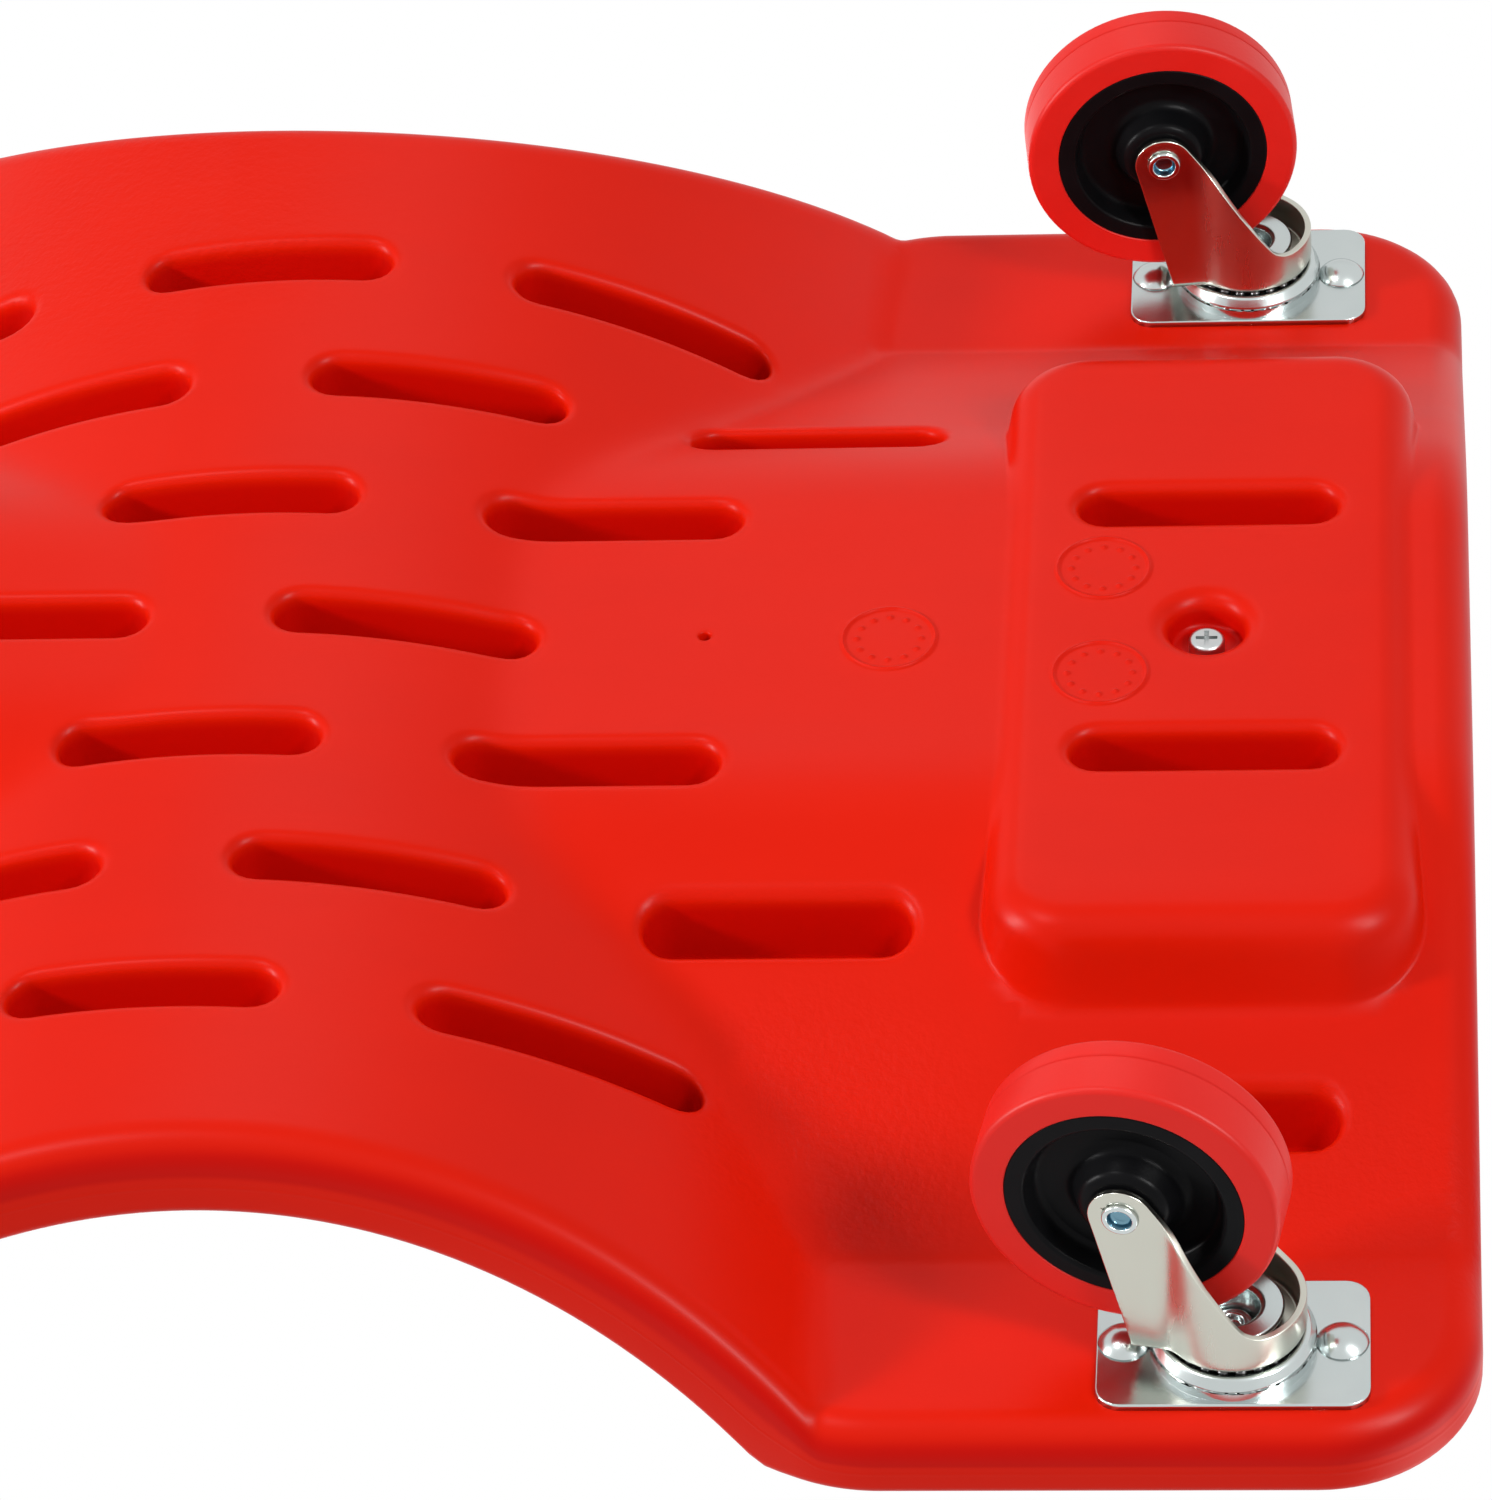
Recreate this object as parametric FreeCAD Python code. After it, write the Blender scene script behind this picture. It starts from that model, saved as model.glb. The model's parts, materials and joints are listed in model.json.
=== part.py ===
import FreeCAD, Part
import math
import os

# A moulded mechanic creeper on six swivel casters, with a padded headrest.
# Millimetres. +X points to the head end, +Y to the user's right, +Z up.
# The origin lies on the floor, under the middle of the board.

# Board, plan
LENGTH = 1016.0
WIDTH = 480.0
CORNER_R = 40.0
NOTCH_X = 210.0
NOTCH_R = 308.0
NOTCH_DEPTH = 34.3
SHOULDER_R = 14.0

# Board, section
WING_T = 21.0
BELLY_T = 24.7
WALL = 3.0
BED_W = 93.2
TROUGH_DROP = 58.0
NECK_DROP = 48.5
DIP_X = 193.0
DIP_R = 210.0
DIP_DROP = 59.5
DIP_CROWN_R = 3150.0

# Headrest seat: a block under the board's head end and a recess above it
BLOCK_END = 68.0
BLOCK_L = 108.0
BLOCK_W = 233.0
BLOCK_PROUD = 2.5
BLOCK_CORNER_R = 24.0
BLOCK_RIM_R = 10.0
SEAT_WALL = 4.0
SEAT_T = 26.0
SCREW_WELL_D = 20.0
SCREW_WELL_MOUTH = 2.5
SCREW_WELL_DEPTH = 9.0
SCREW_POST_D = 34.0

# Moulded pockets that tie the two skins together, and the moulding's vent
POCKET_L = 68.0
POCKET_W = 14.5
POCKET_FLOOR = 5.0
POCKET_FROM_BLOCK = 52.6
POCKET_PITCH_X = 50.7
POCKET_PITCH_Y = 48.6
POCKET_FOOT_END = 60.0
VENT_BACK = 23.4
VENT_D = 2.6

# Tool trays in the tops of the middle wings
TRAY_END = 16.5
TRAY_W = 44.0
TRAY_CORNER_R = 14.0
TRAY_EDGE = 10.0
TRAY_ROOM = 3.4

# Headrest
HEADREST_GAP = 2.5
HEADREST_H = 48.5
HEADREST_ROUND = 15.0
COVER_T = 1.2
COVER_HEM = 14.0
BOARD_T = 9.0
BOARD_INSET = 3.0
SOFT_GAP = 0.3
SCREW_D = 5.0
SCREW_HEAD_D = 9.4
SCREW_HEAD_H = 3.8
SCREW_HEAD_ROUND = 1.25
SCREW_SLOT_L = 5.6
SCREW_SLOT_W = 1.2
SCREW_SLOT_D = 1.8
SCREW_CLEAR = 0.25
TEE_WALL = 1.0
TEE_FLANGE_D = 19.0
TEE_FLANGE_T = 1.4

# Caster positions and the way each wheel trails at rest, in degrees from +X
CASTER_END = 60.0
CASTER_EDGE = 29.4
PAD_MARGIN = 9.6
TRAIL_DEG = {
    "head_right": 190.2,
    "head_left": 174.4,
    "middle_right": 171.0,
    "middle_left": 188.0,
    "foot_right": 12.0,
    "foot_left": -7.0,
}

# Caster plate and its rivets
PLATE_T = 1.8
PLATE_CORNER_R = 6.0
PLATE_END = 0.3
PLATE_SIDE = 1.5
DOME_BASE_R = 19.5
DOME_SLANT = 2.7
DOME_H = 3.2
DOME_WALL = 0.9
RIVET_CLEAR = 0.2
RIVET_D = 6.4
RIVET_HEAD_D = 13.0
RIVET_HEAD_H = 3.6
RIVET_TAIL_D = 11.0
RIVET_TAIL_T = 2.6

# Swivel bearing
RUN_GAP = 0.1
BALL_D = 3.2
RACE_LIP = 0.2
UPPER_BALLS = 22
LOWER_BALLS = 16
KINGPIN_D = 8.0
KINGPIN_HEAD_D = 14.0
KINGPIN_HEAD_T = 2.4
KINGPIN_END_H = 2.4
KINGPIN_CHAMFER = 0.8
KINGPIN_BORE_D = 5.0
CUP_T = 1.5
CUP_RIM_R = 12.6
CUP_NECK_R = 7.8
CUP_FOOT_R = 6.6
CUP_CLEAR = 0.8

# Fork
SHEET = 1.8
CROWN_R = 18.0
CROWN_BEND_R = 6.0
LEG_CLEAR = 2.7
TRAIL = 23.5
WHEEL_CLEAR = 1.42
LEG_END_R = 8.0
HEEL_BACK = 4.3
HEEL_R = 1.6
LIP_H = 10.4
LIP_A = 8.0
LIP_BEND_R = 9.0

# Wheel
WHEEL_D = 75.0
TREAD_W = 17.0
TREAD_EDGE_R = 3.4
TYRE_T = 8.5
HUB_RIM_T = 4.5
HUB_WEB_T = 6.0
HUB_ROUND = 1.5
BOSS_WALL = 5.0
BUSH_WALL = 1.95
LEG_GAP = 0.25
AXLE_D = 8.0
AXLE_WALL = 1.2
AXLE_LIP = 1.3
AXLE_HEAD_T = 1.2
AXLE_RUN = 0.05

# Caster heights, measured down from the pad that carries the plate
PLATE_FACE = PLATE_T + DOME_H
CROWN_FACE = PLATE_FACE + BALL_D + 2 * RUN_GAP
CUP_FACE = CROWN_FACE + SHEET + BALL_D + 2 * RUN_GAP
WHEEL_RISE = math.sqrt((WHEEL_D / 2) ** 2 - (TRAIL - CUP_RIM_R) ** 2)
AXLE_DROP = CUP_FACE + CUP_T + WHEEL_CLEAR + WHEEL_RISE

# Caster widths and radii
RIVET_PITCH = 2 * (DOME_BASE_R + RIVET_CLEAR) + RIVET_HEAD_D
PLATE_L = RIVET_PITCH + RIVET_HEAD_D + 2 * PLATE_END
PLATE_W = 2 * (DOME_BASE_R + PLATE_SIDE)
UPPER_BALL_R = DOME_BASE_R - DOME_SLANT - BALL_D / 2 - RACE_LIP
CROWN_HOLE_R = CUP_NECK_R + CUP_CLEAR
LOWER_BALL_R = (CROWN_HOLE_R + CUP_RIM_R) / 2
LEG_IN = TREAD_W / 2 + LEG_CLEAR
LEG_OUT = LEG_IN + SHEET
BUSH_R = AXLE_D / 2 + AXLE_RUN + BUSH_WALL
HUB_R = WHEEL_D / 2 - TYRE_T

# Board places that follow from the casters and from each other
PAD_Z = AXLE_DROP + WHEEL_D / 2
WING_TOP = PAD_Z + WING_T
CASTER_Y = WIDTH / 2 - CASTER_EDGE
CREASE_Y = CASTER_Y - PLATE_W / 2 - PAD_MARGIN
RAMP = TROUGH_DROP / (CREASE_Y - BED_W / 2)
BLOCK_X = LENGTH / 2 - BLOCK_END
BLOCK_Z = PAD_Z - NECK_DROP - BLOCK_PROUD
SEAT_L = BLOCK_L - 2 * SEAT_WALL
SEAT_W = BLOCK_W - 2 * SEAT_WALL
SEAT_CORNER_R = BLOCK_CORNER_R - SEAT_WALL
SEAT_Z = BLOCK_Z + SEAT_T
SCREW_SEAT_Z = BLOCK_Z + SCREW_WELL_DEPTH
POCKET_FIRST_X = BLOCK_X - BLOCK_L / 2 - POCKET_FROM_BLOCK
VENT_X = POCKET_FIRST_X - VENT_BACK
DIP_Z = PAD_Z - DIP_DROP + DIP_R
DIP_TOP_HALF = math.sqrt((DIP_R - BELLY_T) ** 2 - (DIP_Z - WING_TOP) ** 2)
TRAY_L = 2 * (DIP_X - DIP_TOP_HALF - TRAY_END)
TRAY_DEPTH = WING_T - 2 * WALL - RIVET_TAIL_T - TRAY_ROOM

# Solids far larger than the board, cutters run past the faces they cut, and the slack of a comparison
BIG = 2 * LENGTH
OVER = 1.0
TOUCH = 0.01
ORIGIN = FreeCAD.Vector(0, 0, 0)
X = FreeCAD.Vector(1, 0, 0)
Y = FreeCAD.Vector(0, 1, 0)
Z = FreeCAD.Vector(0, 0, 1)


def vec(x, y, z):
    return FreeCAD.Vector(x, y, z)


def near(a, b):
    return abs(a - b) < TOUCH


def uprights(shape):
    """The shape's straight edges along Z."""
    return [e for e in shape.Edges if near(abs(e.tangentAt(e.FirstParameter).z), 1)]


def level(shape, z):
    """The shape's edges that lie at one height."""
    return [e for e in shape.Edges if near(e.BoundBox.ZMin, z) and near(e.BoundBox.ZMax, z)]


def rounded_box(length, width, corner, span, centre=(0.0, 0.0)):
    """An upright box about a centre, over a span of heights, with its four upright edges rounded."""
    low, high = span
    box = Part.makeBox(length, width, high - low, vec(centre[0] - length / 2, centre[1] - width / 2, low))
    return box.makeFillet(corner, uprights(box))


def tube(r_out, r_in, span, centre=(0.0, 0.0)):
    """An upright ring over a span of heights; an inner radius of nought gives a plain disc."""
    low, high = span
    base = vec(centre[0], centre[1], low)
    ring = Part.makeCylinder(r_out, high - low, base)
    if r_in:
        ring = ring.cut(Part.makeCylinder(r_in, high - low, base))
    return ring


def turned(profile):
    """Turns a closed profile of (radius, z) points about the Z axis."""
    points = [vec(r, 0, z) for r, z in profile]
    face = Part.Face(Part.makePolygon(points + points[:1]))
    return face.revolve(ORIGIN, Z, 360)


def caster_places():
    """Swivel axis of each caster in plan, by name."""
    ends = {"head": LENGTH / 2 - CASTER_END, "middle": 0.0, "foot": CASTER_END - LENGTH / 2}
    sides = {"right": CASTER_Y, "left": -CASTER_Y}
    return {f"{end}_{side}": (x, y) for end, x in ends.items() for side, y in sides.items()}


CASTERS = caster_places()


def rivet_places():
    """Rivet centres about a plate's own centre."""
    return [(-RIVET_PITCH / 2, 0.0), (RIVET_PITCH / 2, 0.0)]


def outline(inset):
    """The board's plan as a tall prism, drawn in by an inset all round."""
    half_l = LENGTH / 2 - inset
    half_w = WIDTH / 2 - inset
    notch_y = WIDTH / 2 - NOTCH_DEPTH + NOTCH_R
    plan = Part.makeBox(2 * half_l, 2 * half_w, BIG, vec(-half_l, -half_w, 0))
    for x in (-NOTCH_X, NOTCH_X):
        for y in (-notch_y, notch_y):
            plan = plan.cut(Part.makeCylinder(NOTCH_R + inset, BIG, vec(x, y, 0)))
    shoulders = [e for e in uprights(plan) if not near(abs(e.CenterOfMass.x), half_l)]
    plan = plan.makeFillet(SHOULDER_R - inset, shoulders)
    corners = [e for e in uprights(plan) if near(abs(e.CenterOfMass.x), half_l)]
    return plan.makeFillet(CORNER_R - inset, corners)


def trough(drop, rise, x_low, x_high):
    """Everything above the sloping sides and the flat bed of a trough along the board."""
    lift = rise * math.hypot(1, RAMP)
    bed_z = PAD_Z - drop + rise
    bed_y = CREASE_Y - (PAD_Z + lift - bed_z) / RAMP
    brow_z = PAD_Z + lift + (WIDTH - CREASE_Y) * RAMP
    section = [(-WIDTH, brow_z), (-bed_y, bed_z), (bed_y, bed_z), (WIDTH, brow_z)]
    points = [vec(x_low, y, z) for y, z in section]
    return Part.Face(Part.makePolygon(points + points[:1])).extrude(vec(x_high - x_low, 0, 0))


def dip(x, rise):
    """Everything above the round dip that drops the board between two pairs of wings."""
    axis = vec(x, 0, PAD_Z - DIP_DROP - DIP_CROWN_R)
    swing = math.degrees(math.asin(WIDTH / DIP_CROWN_R))
    disc = Part.Face(Part.Wire(Part.makeCircle(DIP_R - rise, vec(x, 0, DIP_Z), Y)))
    disc.rotate(axis, X, -swing / 2)
    return disc.revolve(axis, X, swing)


def above(wing_rise, belly_rise):
    """Everything above the board's formed surface, raised from its underside."""
    slab = Part.makeBox(BIG, BIG, BIG, vec(-BIG / 2, -BIG / 2, PAD_Z + wing_rise))
    bed = trough(TROUGH_DROP, belly_rise, -BIG / 2, DIP_X)
    neck = trough(NECK_DROP, belly_rise, 0, BIG / 2)
    return slab.fuse([bed, neck, dip(-DIP_X, belly_rise), dip(DIP_X, belly_rise)])


def block(inset):
    """The headrest's block under the board, drawn in by an inset."""
    low = BLOCK_Z + inset
    length = BLOCK_L - 2 * inset
    width = BLOCK_W - 2 * inset
    body = rounded_box(length, width, BLOCK_CORNER_R - inset, (low, SEAT_Z), (BLOCK_X, 0))
    return body.makeFillet(BLOCK_RIM_R - inset, level(body, low))


def recesses(grow):
    """The headrest's seat and the two tool trays, widened by a skin."""
    high = WING_TOP + TRAY_DEPTH
    corner = SEAT_CORNER_R + grow
    cuts = [rounded_box(SEAT_L + 2 * grow, SEAT_W + 2 * grow, corner, (SEAT_Z - grow, high), (BLOCK_X, 0))]
    tray_y = WIDTH / 2 - TRAY_EDGE - TRAY_W / 2
    span = (WING_TOP - TRAY_DEPTH - grow, high)
    for y in (-tray_y, tray_y):
        cuts.append(rounded_box(TRAY_L + 2 * grow, TRAY_W + 2 * grow, TRAY_CORNER_R + grow, span, (0, y)))
    return cuts


def pocket_places():
    """Centres of the staggered pockets, with the middle of the first column left plain for the vent."""
    columns = int((POCKET_FIRST_X + LENGTH / 2 - POCKET_FOOT_END) / POCKET_PITCH_X) + 1
    places = []
    for column in range(columns):
        x = POCKET_FIRST_X - column * POCKET_PITCH_X
        rows = (-3, -1, 1, 3) if column % 2 else (-2, 0, 2)
        places += [(x, row * POCKET_PITCH_Y) for row in rows if column or row]
    places += [(BLOCK_X, row * POCKET_PITCH_Y) for row in (-3, -1, 1, 3)]
    return places


def pocket_prisms(grow):
    """Tall round-ended prisms at the pockets, widened by a skin."""
    radius = POCKET_W / 2 + grow
    run = (POCKET_L - POCKET_W) / 2
    prisms = []
    for x, y in pocket_places():
        low_left, low_right = vec(x - run, y - radius, 0), vec(x + run, y - radius, 0)
        high_right, high_left = vec(x + run, y + radius, 0), vec(x - run, y + radius, 0)
        right = Part.Arc(low_right, vec(x + run + radius, y, 0), high_right).toShape()
        left = Part.Arc(high_left, vec(x - run - radius, y, 0), low_left).toShape()
        sides = [Part.makeLine(low_left, low_right), right, Part.makeLine(high_right, high_left), left]
        prisms.append(Part.Face(Part.Wire(sides)).extrude(vec(0, 0, WING_TOP)))
    return prisms


def upper(skin):
    """All that lies above the board's top face, lowered by a skin."""
    return above(WING_T - skin, BELLY_T - skin).fuse(recesses(skin))


def screw_cuts():
    """The flared well for the headrest screw's head, and the screw's hole up into the seat."""
    place = (BLOCK_X, 0)
    well_r = SCREW_WELL_D / 2
    well = tube(well_r, 0, (BLOCK_Z - OVER, SCREW_SEAT_Z), place)
    flare = Part.makeCone(well_r + SCREW_WELL_MOUTH, well_r, SCREW_WELL_MOUTH, vec(BLOCK_X, 0, BLOCK_Z))
    hole = tube(SCREW_D / 2 + SCREW_CLEAR, 0, (SCREW_SEAT_Z - OVER, SEAT_Z + OVER), place)
    return [well, flare, hole]


def body_shell():
    """The blow-moulded double-skinned board."""
    shell = outline(0).common(above(0, 0).fuse(block(0))).cut(upper(0))
    void = outline(WALL).common(above(WALL, WALL).fuse(block(WALL))).cut(upper(WALL))
    post = tube(SCREW_POST_D / 2, 0, (0, SEAT_Z), (BLOCK_X, 0))
    void = void.cut(pocket_prisms(WALL) + [post])
    pockets = Part.makeCompound(pocket_prisms(0)).cut(upper(POCKET_FLOOR))
    tools = [void, pockets] + screw_cuts()
    tools.append(tube(VENT_D / 2, 0, (0, PAD_Z - NECK_DROP + 2 * WALL), (VENT_X, 0)))
    for x, y in CASTERS.values():
        for dx, dy in rivet_places():
            tools.append(tube(RIVET_D / 2, 0, (PAD_Z - OVER, PAD_Z + WALL + OVER), (x + dx, y + dy)))
    return shell.cut(tools)


def hung(shape, name, trailing=True):
    """Hangs a shape made about the swivel axis, with z measured from the pad, at a caster's place."""
    x, y = CASTERS[name]
    placed = shape.copy()
    if trailing:
        placed.rotate(ORIGIN, Z, TRAIL_DEG[name])
    placed.translate(vec(x, y, PAD_Z))
    return placed


def plate():
    """The pressed top plate, with its raised race and rivet holes."""
    sheet = rounded_box(PLATE_L, PLATE_W, PLATE_CORNER_R, (-PLATE_T, 0))
    top_r = DOME_BASE_R - DOME_SLANT
    dome = Part.makeCone(DOME_BASE_R, top_r, DOME_H, vec(0, 0, -PLATE_T), -Z)
    hollow = Part.makeCone(DOME_BASE_R - DOME_WALL, top_r - DOME_WALL, DOME_H, ORIGIN, -Z)
    holes = [tube(KINGPIN_D / 2, 0, (-PLATE_FACE - OVER, OVER))]
    for place in rivet_places():
        holes.append(tube(RIVET_D / 2, 0, (-PLATE_T - OVER, OVER), place))
    return sheet.fuse(dome).cut([hollow] + holes)


def plate_rivets():
    """A dome-headed rivet at each end of the plate, spread inside the board's lower skin."""
    head_r = RIVET_HEAD_D / 2
    ball_r = (head_r ** 2 + RIVET_HEAD_H ** 2) / (2 * RIVET_HEAD_H)
    head = Part.makeSphere(ball_r, vec(0, 0, -PLATE_T - RIVET_HEAD_H + ball_r))
    head = head.common(tube(RIVET_HEAD_D, 0, (-PLATE_T - 2 * RIVET_HEAD_H, -PLATE_T)))
    shank = tube(RIVET_D / 2, 0, (-PLATE_T, WALL))
    tail = tube(RIVET_TAIL_D / 2, 0, (WALL, WALL + RIVET_TAIL_T))
    rivet = head.fuse([shank, tail]).removeSplitter()
    pair = []
    for x, y in rivet_places():
        one = rivet.copy()
        one.translate(vec(x, y, 0))
        pair.append(one)
    return Part.makeCompound(pair)


def ball_ring(radius, count, drop):
    """A ring of loose bearing balls with their centres at a drop below the pad."""
    balls = []
    for index in range(count):
        turn = 2 * math.pi * index / count
        centre = vec(radius * math.cos(turn), radius * math.sin(turn), -drop)
        balls.append(Part.makeSphere(BALL_D / 2, centre))
    return Part.makeCompound(balls)


def race_cup():
    """The dished lower race, whose foot is riveted to the plate through the crown."""
    face, rim = -CUP_FACE, -CUP_FACE - CUP_T
    top, foot = -PLATE_FACE, -PLATE_FACE - CUP_T
    pin_r = KINGPIN_D / 2
    outside = [(pin_r, top), (CUP_FOOT_R, top), (CUP_NECK_R, face), (CUP_RIM_R, face)]
    inside = [(CUP_RIM_R, rim), (CUP_NECK_R - CUP_T, rim), (CUP_FOOT_R - CUP_T, foot), (pin_r, foot)]
    return turned(outside + inside)


def kingpin():
    """The hollow rivet that clamps the lower race to the plate."""
    head_face, head_top = -DOME_H, -DOME_H + KINGPIN_HEAD_T
    cup_foot = -PLATE_FACE - CUP_T
    end = cup_foot - KINGPIN_END_H
    pin_r, head_r, bore = KINGPIN_D / 2, KINGPIN_HEAD_D / 2, KINGPIN_BORE_D / 2
    end_r = CUP_FOOT_R - CUP_T
    profile = [(0, head_top), (head_r, head_top), (head_r, head_face), (pin_r, head_face)]
    profile += [(pin_r, cup_foot), (end_r, cup_foot), (end_r - KINGPIN_CHAMFER, end), (bore, end)]
    profile += [(bore, cup_foot), (0, cup_foot)]
    return turned(profile)


def fork_plan(grow, span):
    """The fork's keyhole plan: a round crown that narrows into two flat legs."""
    low, high = span
    reach = TRAIL + 2 * LEG_END_R
    half = LEG_IN + grow
    crown = tube(CROWN_R - SHEET + grow, 0, span)
    legs = Part.makeBox(reach, 2 * half, high - low, vec(0, -half, low))
    plan = crown.fuse(legs).removeSplitter()
    flanks = [e for e in uprights(plan) if near(abs(e.CenterOfMass.y), half)]
    waist = [e for e in flanks if not near(e.CenterOfMass.x, reach)]
    return plan.makeFillet(CROWN_BEND_R + SHEET - grow, waist)


def touching_point(start, centre, radius, side):
    """Where the line from a start point touches a circle in the XZ plane, on one side."""
    away = start - centre
    turn = math.atan2(away.z, away.x) - side * math.acos(radius / away.Length)
    return centre + vec(radius * math.cos(turn), 0, radius * math.sin(turn))


def fork_side():
    """The fork's side view: crown, heel, rounded leg end at the axle, sloping front edge and front lip."""
    high, low, lip_z = -CROWN_FACE, -CROWN_FACE - SHEET, -CROWN_FACE - LIP_H
    heel_a, front_a = CROWN_R + HEEL_BACK, -CROWN_R - OVER
    axle = vec(TRAIL, 0, -AXLE_DROP)
    heel, lip = vec(heel_a, 0, low), vec(-LIP_A, 0, lip_z)
    rear = touching_point(heel, axle, LEG_END_R, 1)
    front = touching_point(lip, axle, LEG_END_R, -1)
    bottom = vec(axle.x, 0, axle.z - LEG_END_R)
    runs = [lip, vec(front_a, 0, lip_z), vec(front_a, 0, high), vec(heel_a, 0, high), heel, rear]
    edges = [Part.makeLine(a, b) for a, b in zip(runs, runs[1:])]
    edges += [Part.Arc(rear, bottom, front).toShape(), Part.makeLine(front, lip)]
    side = Part.Face(Part.Wire(edges)).extrude(vec(0, 2 * CROWN_R, 0))
    side.translate(vec(0, -CROWN_R, 0))
    heels = [e for e in side.Edges if (e.CenterOfMass - vec(heel_a, 0, high)).Length < TOUCH]
    bends = [e for e in side.Edges if (e.CenterOfMass - lip).Length < TOUCH]
    return side.makeFillet(HEEL_R, heels).makeFillet(LIP_BEND_R, bends)


def fork():
    """The pressed fork: crown, wrapped front lip and two legs."""
    bottom = -AXLE_DROP - 2 * LEG_END_R
    solid = fork_plan(SHEET, (bottom, -CROWN_FACE)).common(fork_side())
    hollow = fork_plan(0, (bottom - OVER, -CROWN_FACE - SHEET))
    axle_hole = Part.makeCylinder(AXLE_D / 2, 4 * LEG_OUT, vec(TRAIL, -2 * LEG_OUT, -AXLE_DROP), Y)
    swivel_hole = tube(CROWN_HOLE_R, 0, (-CROWN_FACE - SHEET - OVER, -CROWN_FACE + OVER))
    return solid.cut([hollow, axle_hole, swivel_hole])


def on_axle(part):
    """Lays a part turned about Z across the fork, at the axle."""
    part.rotate(ORIGIN, X, 90)
    part.translate(vec(TRAIL, 0, -AXLE_DROP))
    return part


def both_sides(side):
    """A closed profile from its half on one side of the wheel's middle."""
    return side + [(r, -z) for r, z in reversed(side)]


def tyre():
    """The cast tread, with rounded shoulders."""
    half = TREAD_W / 2
    ring = tube(WHEEL_D / 2, HUB_R, (-half, half))
    rims = [e for e in level(ring, half) + level(ring, -half) if near(e.Curve.Radius, WHEEL_D / 2)]
    return on_axle(ring.makeFillet(TREAD_EDGE_R, rims))


def hub():
    """The dished hub: outer rim, web and a boss that reaches towards the legs."""
    rim_half, web_half, boss_half = TREAD_W / 2, HUB_WEB_T / 2, LEG_IN - 2 * LEG_GAP
    rim_r, boss_r = HUB_R - HUB_RIM_T, BUSH_R + BOSS_WALL
    side = [(HUB_R, rim_half), (rim_r, rim_half), (rim_r - HUB_ROUND, web_half)]
    side += [(boss_r + HUB_ROUND, web_half), (boss_r, boss_half), (BUSH_R, boss_half)]
    return on_axle(turned(both_sides(side)))


def bush():
    """The steel sleeve in the hub that runs on the axle."""
    half = LEG_IN - LEG_GAP
    return on_axle(tube(BUSH_R, AXLE_D / 2 + AXLE_RUN, (-half, half)))


def axle():
    """The hollow rivet through both legs, spread at its ends."""
    pin_r, head_r = AXLE_D / 2, AXLE_D / 2 + AXLE_LIP
    head = LEG_OUT + AXLE_HEAD_T
    side = [(pin_r - AXLE_WALL, head), (head_r - AXLE_HEAD_T / 2, head), (head_r, LEG_OUT), (pin_r, LEG_OUT)]
    return on_axle(turned(both_sides(side)))


def casters():
    """All pieces of the six casters, with the small ones that stay on the board in shared groups."""
    singles = {"plate": plate(), "fork": fork(), "axle": axle(), "bush": bush(), "hub": hub(), "tyre": tyre()}
    upper_drop = PLATE_FACE + RUN_GAP + BALL_D / 2
    lower_drop = CROWN_FACE + SHEET + RUN_GAP + BALL_D / 2
    shared = {
        "plate_rivets": plate_rivets(),
        "kingpins": kingpin(),
        "race_cups": race_cup(),
        "upper_balls": ball_ring(UPPER_BALL_R, UPPER_BALLS, upper_drop),
        "lower_balls": ball_ring(LOWER_BALL_R, LOWER_BALLS, lower_drop),
    }
    nodes = {}
    for name in CASTERS:
        for piece, shape in singles.items():
            nodes[f"{name}_{piece}"] = hung(shape, name, piece != "plate")
    for group, shape in shared.items():
        nodes[group] = Part.makeCompound([s for name in CASTERS for s in hung(shape, name, False).Solids])
    return nodes


def headrest_block(inset, span):
    """The pad's outer form, drawn in by an inset, with its upper rim rounded."""
    gap = HEADREST_GAP + inset
    pad = rounded_box(SEAT_L - 2 * gap, SEAT_W - 2 * gap, SEAT_CORNER_R - gap, span, (BLOCK_X, 0))
    return pad.makeFillet(HEADREST_ROUND - inset, level(pad, span[1]))


def headrest_screw(high):
    """A cross-slotted pan-head screw, up to a height inside the pad."""
    place = (BLOCK_X, 0)
    low = SCREW_SEAT_Z - SCREW_HEAD_H
    head = tube(SCREW_HEAD_D / 2, 0, (low, SCREW_SEAT_Z), place)
    head = head.makeFillet(SCREW_HEAD_ROUND, level(head, low))
    screw = head.fuse(tube(SCREW_D / 2, 0, (SCREW_SEAT_Z, high), place)).removeSplitter()
    for length, width in ((SCREW_SLOT_L, SCREW_SLOT_W), (SCREW_SLOT_W, SCREW_SLOT_L)):
        corner = vec(BLOCK_X - length / 2, -width / 2, low)
        screw = screw.cut(Part.makeBox(length, width, SCREW_SLOT_D, corner))
    return screw


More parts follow.
